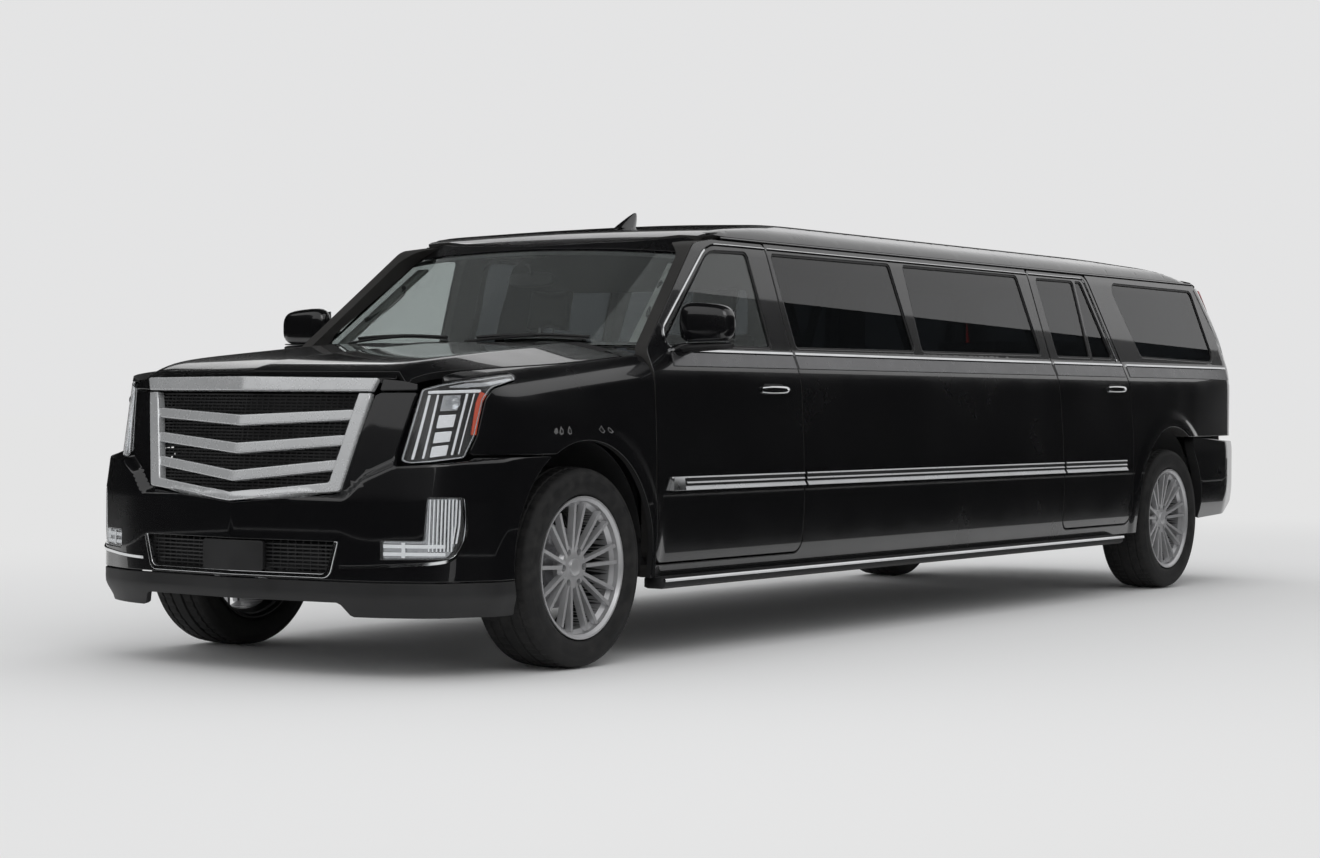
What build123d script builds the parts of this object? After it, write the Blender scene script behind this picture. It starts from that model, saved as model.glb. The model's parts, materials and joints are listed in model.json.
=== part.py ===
"""A stretch limousine: a full-size four-door SUV body, cut behind its front doors and lengthened.

Millimetres. +Z is up, the nose points to -Y and the limousine's left side is +X. Everything is built
about the middle of the front axle on the ground (y = 0 there), and moved at the end so that the
origin is on the ground under the middle of the whole length.
"""
from build123d import *
import math
import os

os.makedirs("parts", exist_ok=True)

# ---------------------------------------------------------------- driving dimensions
LENGTH = 8227.0            # a 5179 mm SUV with a 3048 mm (120 inch) stretch
FRONT_OVERHANG = 989.0
WHEELBASE = 5994.0         # 2946 + 3048
TRACK = 1745.0
TYRE_R = 407.5             # 285/45 R22
ARCH_R = 475.0             # front wheel arch and the height of its middle
ARCH_Z = 445.0
REAR_ARCH_R = 485.0
REAR_ARCH_Z = 460.0
BODY_HALF = 1022.0         # widest point of the side, below the waist
SIDE_WALL = 84.0           # a whole door's or side wall's depth
GAP = 8.0                  # round every door, lid and gate
GLASS = 6.0
PLATE_HOLES = 178.0        # between a number plate's two screws
PLATE_HOLE_R = 3.5
TOW_EYE_R = 9.0

HUB_Z = TYRE_R
REAR = LENGTH - FRONT_OVERHANG          # rearmost point behind the front axle
WHEEL_X = TRACK / 2

# Heights
SILL_Z = 400.0             # underside of the doors
BELT_Z = 1305.0            # lower edge of the windows
GLASS_TOP_Z = 1765.0
ROOF_Z = 1945.0
NOSE_Z = 700.0             # grille foot, where the sloping nose starts
GRILLE_TOP_Z = 1166.0

# Stations behind the front axle
FENDER_END = 500.0         # the fender's rear edge, ahead of the front door
GATE_HINGE_Y = 6700.0
GATE_FOOT_Z = 893.0
FRAME_JOIN = 5330.0        # the lengthened rails meet their rear lengths
RAIL_X = 400.0             # a rail's inner face
ROOF_SPLIT_Z = 1812.0      # the roof panel meets the sides
BODY_FOOT_Z = 340.0

# Slopes, as travel vectors
NOSE_RISE = Vector(0, 85, 465)          # the nose leans back
LIP_RISE = Vector(0, 300, 110)          # the hood's front edge rolls back from the grille
SCREEN_RISE = Vector(0, 745, 530)       # the windshield
GATE_RISE = Vector(0, -290, 520)        # the rear glass

# Cross-section of the body: half width, height, corner radius, from the sill to the roof's middle
SECTION = [
    (880, 250, 0), (985, 330, 60), (1019, 520, 1400), (BODY_HALF, 860, 3500), (1008, 1185, 280),
    (958, 1300, 250), (822, GLASS_TOP_Z, 150), (772, 1866, 110), (600, 1920, 300), (0, ROOF_Z, 6000),
]
CAVITY = [
    (0, 250, 0), (BODY_HALF - SIDE_WALL, 250, 0), (BODY_HALF - SIDE_WALL, 1170, 80), (900, 1290, 60),
    (772, 1730, 60), (690, 1785, 150), (0, 1828, 5000),
]

# Plan outlines, half width, station, radius
FRONT_SECTION = [  # of the hood and fenders at the nose
    (0, 200, 0), (1010, 200, 0), (1018, 560, 1400), (1012, 860, 900), (980, 1020, 160), (905, 1112, 120),
    (640, 1205, 60), (0, 1215, 6000),
]
COWL_SECTION = [  # and at the front door
    (0, 200, 0), (1000, 200, 0), (1019, 560, 1400), (1021, 900, 900), (1006, 1190, 160), (945, 1272, 90),
    (640, 1336, 60), (0, 1345, 6000),
]
NOSE_PLAN = [(0, -985, 0), (575, -898, 260), (800, -800, 200), (985, -570, 330), (1100, 350, 0), (0, 350, 0)]
BUMPER_PLAN = [(0, -989, 3000), (620, -925, 600), (880, -800, 220), (1004, -560, 150), (1016, -400, 0),
               (0, -400, 0)]
TAIL_PLAN = [(0, 300, 0), (1100, 300, 0), (1030, 6350, 0), (985, 7000, 160), (800, 7145, 150),
             (0, 7178, 4000)]
SCREEN_PLAN = [(0, 400, 2600), (560, 450, 900), (1000, 640, 0), (1000, 4000, 0), (0, 4000, 0)]

# Side outlines: station, height, corner radius
FRONT_DOOR = [(FENDER_END + GAP, SILL_Z, 60), (FENDER_END + GAP, 1300, 60), (1085, 1778, 120),
              (1250, 1800, 0), (1800, 1800, 0), (1800, SILL_Z, 0)]
REAR_DOOR = [(4528, SILL_Z, 60), (4462, 1305, 0), (4440, 1800, 20), (5500, 1800, 0), (5500, SILL_Z, 0)]
FRONT_WINDOW = [(606, 1318, 40), (1120, 1738, 90), (1522, 1755, 30), (1543, 1318, 25)]
REAR_WINDOW = [(4556, 1330, 25), (4528, 1760, 25), (5012, 1762, 25), (4985, 1330, 25)]
VENT_WINDOW = [(5012, 1330, 12), (5040, 1762, 12), (5118, 1762, 30), (5290, 1330, 25)]
SIDE_WINDOWS = [
    [(1757, 1322, 25), (1730, 1758, 25), (2868, 1762, 25), (2916, 1328, 25)],
    [(2988, 1328, 25), (3004, 1762, 25), (4298, 1764, 25), (4362, 1334, 25)],
    [(5700, 1345, 40), (5490, 1772, 60), (6715, 1768, 40), (6805, 1330, 60)],
]

GATE = [(0, GATE_FOOT_Z, 0), (838, GATE_FOOT_Z, 30), (838, 1290, 500), (766, 1808, 0), (0, 1808, 0)]
DOOR_EDGES = {   # the slanting cut at a door's rear edge, as y, z at x = 600, and its slope in y per x
    "front": ([(1628, SILL_Z, 60), (1612, 860, 0), (1616, 1305, 0), (1645, 1800, 0)], 0.25),
    "rear": ([(5257, SILL_Z, 80), (5248, 900, 0), (5235, 1305, 60), (5119, 1800, 40)], 0.42),
}
parts = {}


# ---------------------------------------------------------------- drawing helpers
def closed_wire(corners, place):
    """A closed wire through (a, b, radius) corners, round ones as tangent arcs. place maps a, b to 3-D."""
    points = [Vector(a, b) for a, b, _ in corners]
    count = len(points)
    stops = []
    for i, (_, _, radius) in enumerate(corners):
        here = points[i]
        back = (points[i - 1] - here).normalized()
        ahead = (points[(i + 1) % count] - here).normalized()
        if radius <= 0:
            stops.append((here, None, here))
            continue
        half = back.get_angle(ahead) / 2
        reach = radius / math.tan(math.radians(half))
        middle = (back + ahead).normalized()
        apex = here + middle * (radius / math.sin(math.radians(half)) - radius)
        stops.append((here + back * reach, apex, here + ahead * reach))
    edges = []
    for i, (start, apex, end) in enumerate(stops):
        if apex is not None:
            edges.append(ThreePointArc(place(start), place(apex), place(end)))
        following = stops[(i + 1) % count][0]
        if (following - end).length > 0.01:
            edges.append(Line(place(end), place(following)))
    return Wire(edges)


def prism(plane, corners, start, travel):
    """A closed outline in a plane ("yz", "xz" or "xy") at start, pushed along the vector travel."""
    place = {
        "yz": lambda p: (start, p.X, p.Y),
        "xz": lambda p: (p.X, start, p.Y),
        "xy": lambda p: (p.X, p.Y, start),
    }[plane]
    return Solid.extrude(Face(closed_wire(corners, place)), Vector(*travel))


def both_halves(half):
    """A half outline whose first and last corners are on the centre line or mirrored with the rest."""
    left = [(-a, b, r) for a, b, r in reversed(half) if a > 0]
    return list(half) + left


def box(x0, x1, y0, y1, z0, z1):
    """A box from its six limits."""
    return Pos((x0 + x1) / 2, (y0 + y1) / 2, (z0 + z1) / 2) * Box(x1 - x0, y1 - y0, z1 - z0)


def side_cut(corners, x0=600.0, x1=1300.0):
    """A side outline pushed through the left wall."""
    return prism("yz", corners, x0, (x1 - x0, 0, 0))


def grown(corners, amount):
    """The same outline with every edge moved out by amount."""
    place = lambda p: (p.X, p.Y, 0)
    face = Face(closed_wire(corners, place))
    return offset(face, amount, kind=Kind.INTERSECTION)


def side_cut_grown(corners, amount, x0=600.0, x1=1300.0):
    """A side outline, grown by amount, pushed through the left wall."""
    flat = grown(corners, amount).faces()[0]
    turned = Plane((x0, 0, 0), x_dir=(0, 1, 0), z_dir=(1, 0, 0)).location * flat
    return Solid.extrude(turned, Vector(x1 - x0, 0, 0))


def rod(start, end, radius):
    """A round bar from one point to another."""
    line = Vector(*end) - Vector(*start)
    return Plane(start, z_dir=line).location * Cylinder(
        radius, line.length, align=(Align.CENTER, Align.CENTER, Align.MIN)
    )


def disc(x0, x1, station, height, radius):
    """A round disc or cylinder along X."""
    return rod((x0, station, height), (x1, station, height), radius)


def mirrored(shape):
    """The same shape on the other side."""
    return mirror(shape, Plane.YZ)


def pair(shape):
    """A left piece and its mirror image, as one node's separate solids."""
    return Compound(children=[*shape.solids(), *mirrored(shape).solids()])


def keep(name, shape):
    """Stores a finished piece under its node's name."""
    parts[name] = shape


# ---------------------------------------------------------------- the body's envelope
def envelope():
    """The closed outer form, from the cowl to the tail: cross-section, windshield, roof line and tail."""
    tube = prism("xz", both_halves(SECTION), 300, (0, REAR - 200, 0))
    tail_low = prism("xy", both_halves(TAIL_PLAN), 200, (0, 0, 1100))
    tail_high = prism("xy", both_halves(TAIL_PLAN), 1300, tuple(GATE_RISE * 1.3))
    screen_low = box(-1200, 1200, 300, 4000, 100, BELT_Z - 5)
    rear_half = box(-1200, 1200, 4000, 7600, 100, 2000)
    roof_line = [(300, 200, 0), (300, 1400, 0), (1160, 1842, 900), (2200, 1945, 2500), (5300, 1945, 9000),
                 (6330, 1905, 1200), (6710, 1832, 400), (6900, 1800, 0), (7400, 1400, 0), (7400, 200, 0)]
    return tube & (tail_low + tail_high) & (screen_wedge() + screen_low + rear_half) & prism(
        "yz", roof_line, -1300, (2600, 0, 0)
    )


def screen_wedge():
    """Everything behind the windshield's outer face."""
    return prism("xy", both_halves(SCREEN_PLAN), BELT_Z - 5, tuple(SCREEN_RISE * 1.25))


def gate_wedge():
    """Everything ahead of the rear glass's outer face."""
    return prism("xy", both_halves(TAIL_PLAN), 1300, tuple(GATE_RISE * 1.3))


def walls(outer):
    """The envelope hollowed out: side walls, roof and tail wall."""
    hollow = prism("xz", both_halves(CAVITY), -1000, (0, 8400, 0))
    tail_in = prism("yz", [(-900, 240, 0), (7085, 240, 0), (7085, 1290, 0), (6790, 1780, 60), (6700, 1900, 0),
                           (-900, 1900, 0)], -1300, (2600, 0, 0))
    return outer - (hollow & tail_in)


def front_block(inset=0.0):
    """The closed form of hood and fenders, between the nose and the door, moved in by inset."""
    def moved(corners):
        return [(max(a - inset, 0), b - (inset if b > 1000 else 0), r) for a, b, r in corners]
    nose = closed_wire(both_halves(moved(FRONT_SECTION)), lambda p: (p.X, -1000, p.Y))
    cowl = closed_wire(both_halves(moved(COWL_SECTION)), lambda p: (p.X, FENDER_END, p.Y))
    return Solid.make_loft([nose, cowl], ruled=True)


def nose_wedge(back=0.0):
    """Everything behind the leaning nose."""
    block = prism("xy", both_halves(NOSE_PLAN), NOSE_Z, tuple(NOSE_RISE * 1.3))
    return Pos(0, back, 0) * block


def bumper_wedge(back=0.0):
    """Everything behind the front bumper's face."""
    scale = (BODY_HALF - back) / BODY_HALF
    corners = [(a * scale, b + back if b < -400 else b, r) for a, b, r in BUMPER_PLAN]
    return prism("xy", both_halves(corners), 235, (0, 0, 465))


def arch_space(x_from):
    """The room a front wheel needs under its arch, open below."""
    return disc(x_from, 1300, 0, ARCH_Z, ARCH_R) + box(x_from, 1300, -ARCH_R, ARCH_R, 0, ARCH_Z)


outer = envelope()
shell = walls(outer)


# ---------------------------------------------------------------- doors, side walls and their glass
def doorway(outline, edge, margin=0.0):
    """The block a left door fills. Its rear face slants, so that the edge clears its frame as it swings."""
    corners, slope = DOOR_EDGES[edge]
    ahead = [(-500, SILL_Z, 0), *corners, (-500, 1800, 0)]
    flat = grown(ahead, margin).faces()[0]
    turned_flat = Plane((600, 0, 0), x_dir=(0, 1, 0), z_dir=(1, 0, 0)).location * flat
    block = side_cut_grown(outline, margin) & Solid.extrude(turned_flat, Vector(700, 700 * slope, 0))
    return block & box(705 - margin, 1300, -500, 7000, 0, 2000)


def door(outline, edge, windows):
    """A left door: the wall inside its doorway, with its windows cut."""
    panel = shell & doorway(outline, edge)
    for window in windows:
        panel -= side_cut(window)
    return panel


def glass_layer(back=9.0):
    """A thin layer just inside the slanting side of the cabin."""
    low, high = SECTION[5], SECTION[6]
    slope = (high[0] - low[0]) / (high[1] - low[1])
    foot, head = 1280, 1790
    at_foot, at_head = low[0] + slope * (foot - low[1]) - back, low[0] + slope * (head - low[1]) - back
    corners = [(at_foot, foot, 0), (at_head, head, 0), (at_head - GLASS, head, 0), (at_foot - GLASS, foot, 0)]
    return prism("xz", corners, 500, (0, 6600, 0))


def pane(window):
    """The glass of one side window, a hair smaller than its hole."""
    return glass_layer() & side_cut_grown(window, -0.4)


def body_side():
    """The left side wall: sill, pillars and the long fixed panel, open at its doors, windows and arch."""
    side = shell & box(0, 1300, 300, 7300, BODY_FOOT_Z, ROOF_SPLIT_Z)
    side -= box(0, 1300, 0, FENDER_END, 0, 1312)
    side -= doorway(FRONT_DOOR, "front", GAP)
    side -= doorway(REAR_DOOR, "rear", GAP)
    for window in SIDE_WINDOWS:
        side -= side_cut(window)
    side -= disc(500, 1300, WHEELBASE, REAR_ARCH_Z, REAR_ARCH_R)
    side -= box(0, 1300, WHEELBASE + 200, 7400, 0, GATE_FOOT_Z - GAP)
    side -= gate_block(GAP) + box(-10, 838, 6650, 7400, 0, 900)
    side -= gate_block(GAP + 10) & box(700, 900, 6500, 7000, 1400, 1830)
    side -= tail_lamp_region(0)
    return max(side.solids(), key=lambda s: s.volume)


def gate_block(margin=0.0):
    """The block the tailgate fills."""
    flat = grown(both_halves(GATE), margin).faces()[0]
    standing = Plane((0, 6600, 0), x_dir=(1, 0, 0), z_dir=(0, -1, 0)).location * flat
    return Solid.extrude(standing, Vector(0, 800, 0))


def tail_lamp_region(inset):
    """The tall strip at the body's rear corner, from the bumper to the roof."""
    behind = prism("yz", [(7085 + inset, 900, 0), (7400, 900, 0), (7400, 1900, 0), (6835 + inset, 1790, 0),
                          (7085 + inset, 1300, 0)], 500, (800, 0, 0))
    return (behind & box(500, 1200, 6600, 7400, 930 + inset, 1775 - inset)) - gate_block(GAP + 3 + inset)


front_door = door(FRONT_DOOR, "front", [FRONT_WINDOW])
rear_door = door(REAR_DOOR, "rear", [REAR_WINDOW, VENT_WINDOW])
side = body_side()
keep("front_door_left", front_door)
keep("front_door_right", mirrored(front_door))
keep("rear_door_left", rear_door)
keep("rear_door_right", mirrored(rear_door))
keep("body_side_left", side)
keep("body_side_right", mirrored(side))
front_pane = pane(FRONT_WINDOW)
rear_panes = Compound(children=[*pane(REAR_WINDOW).solids(), *pane(VENT_WINDOW).solids()])
keep("front_door_glass_left", front_pane)
keep("front_door_glass_right", mirrored(front_pane))
keep("rear_door_glass_left", rear_panes)
keep("rear_door_glass_right", mirrored(rear_panes))
fixed = Compound(children=[s for window in SIDE_WINDOWS for s in pane(window).solids()])
keep("side_glass", pair(fixed))
keep("tail_lamps", pair((shell & tail_lamp_region(0.5)).solids().sort_by(SortBy.VOLUME)[-1]))


# ---------------------------------------------------------------- roof, windshield and tailgate
def roof_panel():
    """The long roof skin, from the windshield to the tailgate."""
    headroom = [(-620, 1700, 0), (620, 1700, 0), (600, 1862, 60), (0, 1900, 5000), (-600, 1862, 60)]
    skin = shell & box(-1300, 1300, 300, GATE_HINGE_Y, ROOF_SPLIT_Z, 2000)
    return skin - prism("xz", headroom, 1960, (0, 4240, 0))


def windshield():
    """One curved pane between the pillars."""
    layer = (Pos(0, 4, 0) * screen_wedge()) - (Pos(0, 4 + GLASS * 1.4, 0) * screen_wedge())
    between = [(max(a - 2, 0), b - 2, r) for a, b, r in CAVITY]
    layer &= prism("xz", both_halves(between), 300, (0, 1200, 0))
    return layer & box(-1000, 1000, 300, 1500, 1316, 1900)


GATE_WINDOW = [(0, 1345, 0), (735, 1345, 50), (690, 1738, 60), (0, 1746, 4000)]


def tailgate():
    """The tail wall with its window cut, its plate recess and the spoiler along its top."""
    wall = (shell & gate_block()) - box(-2000, 2000, 6500, 6790, 0, 2000)
    wall -= prism("xz", both_halves(GATE_WINDOW), 6600, (0, 700, 0))
    wall -= box(-270, 270, 7155, 7300, 985, 1165)
    for x in (-PLATE_HOLES / 2, PLATE_HOLES / 2):
        wall -= rod((x, 7060, 1120), (x, 7200, 1120), PLATE_HOLE_R)
    section = [(GATE_HINGE_Y + GAP, 1832, 0), (6845, 1826, 30), (6928, 1806, 10), (6920, 1792, 6),
               (6885, 1768, 0), (6800, 1768, 0), (GATE_HINGE_Y + GAP, 1790, 0)]
    return wall + prism("yz", section, -765, (1530, 0, 0))


def gate_glass():
    """The rear window's pane."""
    layer = (Pos(0, -5, 0) * gate_wedge()) - (Pos(0, -5 - GLASS, 0) * gate_wedge())
    inside = [(max(a - 1, 0), b + (1 if b < 1500 else -1), r) for a, b, r in GATE_WINDOW]
    return layer & prism("xz", both_halves(inside), 6600, (0, 700, 0))


keep("roof_panel", roof_panel())
keep("windshield", windshield())
keep("tailgate", tailgate())
keep("tailgate_glass", gate_glass())


# ---------------------------------------------------------------- the front end
HOOD_PLAN = [(0, -940, 0), (598, -852, 30), (690, -765, 60), (790, -480, 900), (880, 0, 2500), (905, 392, 40),
             (0, 318, 4000)]
GRILLE = [(0, 664, 0), (508, 728, 14), (602, 1166, 10), (0, 1166, 0)]
GRILLE_BAR_HEIGHTS = [(1042, 38), (950, 34), (858, 30), (768, 26)]   # height at the side, drop at the middle
HEADLAMP = [(655, 852, 20), (905, 838, 30), (905, 1000, 0), (985, 1160, 20), (965, 1185, 20), (712, 1140, 20)]
CORNER_LAMP = [(598, 452, 10), (905, 455, 25), (985, 700, 20), (800, 700, 12), (800, 520, 12), (598, 510, 10)]
LOWER_GRILLE = [(0, 425, 0), (470, 430, 40), (520, 545, 20), (0, 545, 0)]


def hood_lip():
    """Everything under the rolled front edge of the hood and fenders."""
    face = [(a, b + NOSE_RISE.Y, r) for a, b, r in NOSE_PLAN]
    rolled = prism("xy", both_halves(face), GRILLE_TOP_Z, tuple(LIP_RISE * 1.8))
    return rolled + box(-1300, 1300, -1200, 700, 100, GRILLE_TOP_Z)


def hood():
    """The lid over the engine: the front block's skin inside the hood's plan."""
    block = front_block() & nose_wedge(4) & hood_lip()
    lid = (block & prism("xy", both_halves(HOOD_PLAN), 1050, (0, 0, 400))) - Pos(0, 0, -38) * (
        front_block() & hood_lip())
    over_grille = both_halves([(0, 900, 0), (560, 900, 0), (607, 1172, 0), (0, 1172, 0)])
    return lid - prism("xz", over_grille, -1200, (0, 600, 0))


def hood_room():
    """The hood's plan, a gap larger, as a tall block."""
    return Solid.extrude(Pos(0, 0, 1000) * grown(both_halves(HOOD_PLAN), GAP).faces()[0], Vector(0, 0, 500))


def fender():
    """The left fender: the front block's side, outside the hood, open over the wheel."""
    skin = front_block() & hood_lip() & (nose_wedge() + box(-1200, 1200, -500, 700, 100, 750))
    skin -= front_block(34)
    wing = skin & box(0, 1300, -840, FENDER_END, BODY_FOOT_Z, 1400)
    wing -= hood_room() + box(-1, 806, 380, 700, 1000, 1500)
    wing -= arch_space(0)
    wing -= box(0, 1300, -1100, 0, 0, 806)
    wing -= box(0, 700, -1100, -560, 0, 1400)
    wing -= prism("xz", HEADLAMP, -1100, (0, 780, 0))
    return max(wing.solids(), key=lambda s: s.volume)


def fascia():
    """The front bumper: its face, wrapped round to the wheels, with the openings for grille and lamps."""
    low = bumper_wedge() - bumper_wedge(55)
    low = low & box(-1300, 1300, -1100, -ARCH_R - 12, 235, 700)
    low -= box(-560, 560, -1200, -400, 200, 322)
    high = (nose_wedge() - nose_wedge(60)) & box(-1300, 1300, -1100, -ARCH_R - 12, 700, 806)
    cheeks = (nose_wedge() - nose_wedge(60)) & box(-694, 694, -1100, -700, 806, 1122)
    face = low + (high & front_block()) + (cheeks & front_block())
    face -= arch_space(-1300)
    for cut in (GRILLE, LOWER_GRILLE):
        face -= prism("xz", both_halves(cut), -1200, (0, 600, 0))
    for lamp in (HEADLAMP, CORNER_LAMP):
        tool = prism("xz", lamp, -1200, (0, 780, 0))
        face -= tool
        face -= mirrored(tool)
    holder = box(-130, 130, -1000, -930, 420, 550) & (bumper_wedge(2) - bumper_wedge(22))
    face = max(face.solids(), key=lambda s: s.volume) + holder
    for x in (-PLATE_HOLES / 2, PLATE_HOLES / 2):
        face -= rod((x, -1000, 490), (x, -900, 490), PLATE_HOLE_R)
    return face


def grille():
    """A bright surround with four bars, each a shallow V."""
    sheet = nose_wedge(-6) - nose_wedge(44)
    inner = [(0, 712, 0), (470, 770, 12), (548, 1108, 8), (0, 1108, 0)]
    inside = [(0, 666, 0), (506, 730, 14), (600, 1164, 10), (0, 1164, 0)]
    filled = prism("xz", both_halves(inside), -1200, (0, 600, 0))
    bars = filled - prism("xz", both_halves(inner), -1200, (0, 600, 0))
    for height, drop in GRILLE_BAR_HEIGHTS:
        bar = [(0, height - drop - 17, 0), (560, height - 17, 0), (560, height + 17, 0),
               (0, height - drop + 17, 0)]
        bars += prism("xz", both_halves(bar), -1200, (0, 600, 0)) & filled
    return sheet & bars


def radiator():
    """The dark core behind the grille, and the panel behind the lower grille."""
    return box(-500, 500, -735, -690, 510, 1080)


keep("hood", hood())
fender_left = fender()
keep("front_fenders", pair(fender_left))
keep("front_bumper", fascia())
keep("grille", grille())

def lamp(corners, body, near, far):
    """A left lamp filling its opening in the skin given, its lens flush."""
    tool = Solid.extrude(Face(closed_wire(corners, lambda p: (p.X, near, p.Y))), Vector(0, far - near, 0))
    return max((tool & body).solids(), key=lambda s: s.volume)


def bumper_rear():
    """The rear bumper: a wrapped face with a step on top, curving under at its foot."""
    plan = [(0, 6350, 0), (1008, 6350, 0), (1010, 6860, 300), (962, 7090, 120), (760, 7195, 300),
            (0, REAR, 4000)]
    inner = [(0, 6340, 0), (950, 6340, 0), (952, 6840, 250), (905, 7040, 90), (740, 7125, 250),
             (0, 7165, 4000)]
    sweep = [(6300, 377, 0), (6790, 377, 60), (7000, 400, 100), (REAR, 640, 200), (7300, 700, 0),
             (7300, 885, 0), (6300, 885, 0)]
    solid = prism("xy", both_halves(plan), 300, (0, 0, 600)) & prism("yz", sweep, -1300, (2600, 0, 0))
    face = solid - prism("xy", both_halves(inner), 300, (0, 0, 560))
    face -= disc(-1300, 1300, WHEELBASE, REAR_ARCH_Z, REAR_ARCH_R)
    face -= box(-1300, 1300, 6000, WHEELBASE + REAR_ARCH_R, 0, REAR_ARCH_Z)
    face -= box(-900, 900, 6000, 7092, 800, 1000)
    return max(face.solids(), key=lambda s: s.volume)


nose_skin = (front_block() & nose_wedge()) - (front_block(70) & nose_wedge(90))
keep("headlamps", pair(lamp(HEADLAMP, nose_skin, -1100, -440)))
keep("corner_lamps", pair(lamp(CORNER_LAMP, bumper_wedge() - bumper_wedge(50), -1100, -600)))
keep("rear_bumper", bumper_rear())
keep("radiator", radiator())


def cowl():
    """The black panel between the hood and the windshield."""
    top = (front_block(9) - front_block(40)) & box(-798, 798, 250, 640, 1100, 1400)
    return top - hood_room() - Pos(0, -3, 0) * screen_wedge()


# ---------------------------------------------------------------- cabin floor, frame and what hangs from it
def floor_pan():
    """Firewall, floor with its tunnel, rockers, and the raised cargo floor, cut out for the wheels."""
    pan = box(-928, 928, 505, 5350, 480, 520) + box(-905, 905, 505, 535, 480, 1230)
    pan += pair(box(850, 936, 508, 5345, 342, 482))
    tunnel = box(-190, 190, 500, 1350, 400, 700)
    pan = (pan - tunnel) + (box(-220, 220, 506, 1380, 500, 730) - tunnel) - box(-60, 60, 1340, 2560, 400, 505)
    pan += box(-928, 928, 5310, 5350, 480, 760) + box(-934, 934, 5310, 7070, 720, 760)
    pan -= pair(disc(600, 1300, WHEELBASE, REAR_ARCH_Z, REAR_ARCH_R + 6))
    return pan - pair(box(840, 1000, 6440, 7100, 700, 800))


def wheel_housings():
    """Front liners above the wheels, and the closed rear housings inside the cabin."""
    front = disc(560, 960, 0, ARCH_Z, ARCH_R + 6) - disc(500, 1000, 0, ARCH_Z, ARCH_R)
    front &= box(0, 1300, -600, 600, ARCH_Z + 60, 1000)
    rear = disc(600, 936, WHEELBASE, REAR_ARCH_Z, REAR_ARCH_R + 6)
    rear -= disc(606, 1000, WHEELBASE, REAR_ARCH_Z, REAR_ARCH_R)
    rear &= box(0, 1300, 5000, 7000, 600, 1000)
    return pair(front), pair(rear)


def rails():
    """The frame's rails, in two lengths a side: low under the lounge, then up over the rear axle."""
    front = [(-800, 400, 0), (230, 400, 60), (520, 330, 60), (FRAME_JOIN - 2, 330, 0),
             (FRAME_JOIN - 2, 440, 0), (540, 440, 60), (250, 510, 60), (-800, 510, 0)]
    rear = [(FRAME_JOIN + 2, 330, 0), (5600, 565, 80), (6400, 565, 80), (6640, 410, 60), (7080, 410, 0),
            (7080, 510, 0), (6660, 510, 60), (6420, 670, 80), (5580, 670, 80), (5350, 440, 60),
            (FRAME_JOIN + 2, 440, 0)]
    left = [prism("yz", path, RAIL_X, (80, 0, 0)) for path in (front, rear)]
    return Compound(children=[*left, *[mirrored(rail) for rail in left]])


def crossmembers():
    """What joins and loads the rails: beams, splice plates, body mounts, spring towers and tow points."""
    made = [box(-RAIL_X, RAIL_X, *spans) for spans in (
        (-740, -660, 405, 510), (1500, 1570, 332, 368), (2500, 2570, 332, 368), (3500, 3570, 332, 368),
        (4500, 4570, 332, 368), (5000, 5060, 332, 368), (6500, 6570, 570, 600))]
    for station, low in ((700, 440), (1700, 440), (2700, 440), (3700, 440), (4700, 440), (5800, 670),
                         (6300, 670), (6950, 510)):
        height = (480 if low < 500 else 720) - low
        mount = Pos(440, station, low + height / 2) * Cylinder(42, height)
        made += [mount, mirrored(mount)]
    splice = box(RAIL_X - 12, RAIL_X, FRAME_JOIN - 100, FRAME_JOIN + 26, 345, 425)
    tower = box(376, RAIL_X, -140, 140, 420, 800) + box(376, 600, -80, 80, 780, 800)
    pod = box(340, RAIL_X, -190, 190, 300, 450)
    front_beam = box(-490, 490, -840, -800, 430, 510) + box(-380, 380, -885, -840, 430, 510)
    front_beam -= rod((250, -890, 470), (250, -795, 470), TOW_EYE_R)
    rear_beam = box(-RAIL_X, RAIL_X, 7000, 7080, 415, 505) + box(-420, 420, 7080, 7125, 415, 505)
    rear_beam += box(-300, -200, 7080, 7125, 400, 480)
    rear_beam -= rod((-250, 7060, 435), (-250, 7160, 435), TOW_EYE_R)
    axle_beam = box(-345, 345, -60, 60, 300, 400) + pod + mirrored(pod) + tower + mirrored(tower)
    return Compound(children=[*made, splice, mirrored(splice), front_beam, rear_beam, axle_beam])


def suspension():
    """Two wishbones and a coil-over on each side of the front axle, left side."""
    arm = Pos(800, 0, 220) * Cylinder(30, 30)
    arm += rod((415, -150, 350), (780, -8, 222), 19) + rod((415, 150, 350), (780, 8, 222), 19)
    arm += rod((600, -80, 286), (600, 80, 286), 16)
    upper = Pos(800, 0, 605) * Cylinder(24, 30)
    upper += rod((404, -125, 640), (785, -8, 606), 13) + rod((404, 125, 640), (785, 8, 606), 13)
    strut = rod((600, 0, 286), (508, 0, 790), 26) + rod((580, 0, 400), (520, 0, 730), 58)
    side = (arm + strut - box(415, 700, -200, 200, 780, 900) - box(300, 415, -300, 300, 0, 900)).solids()
    upper -= box(300, 404, -200, 200, 500, 800)
    return Compound(children=[*side, *mirrored(Compound(children=side)).solids()]), pair(upper)


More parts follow.
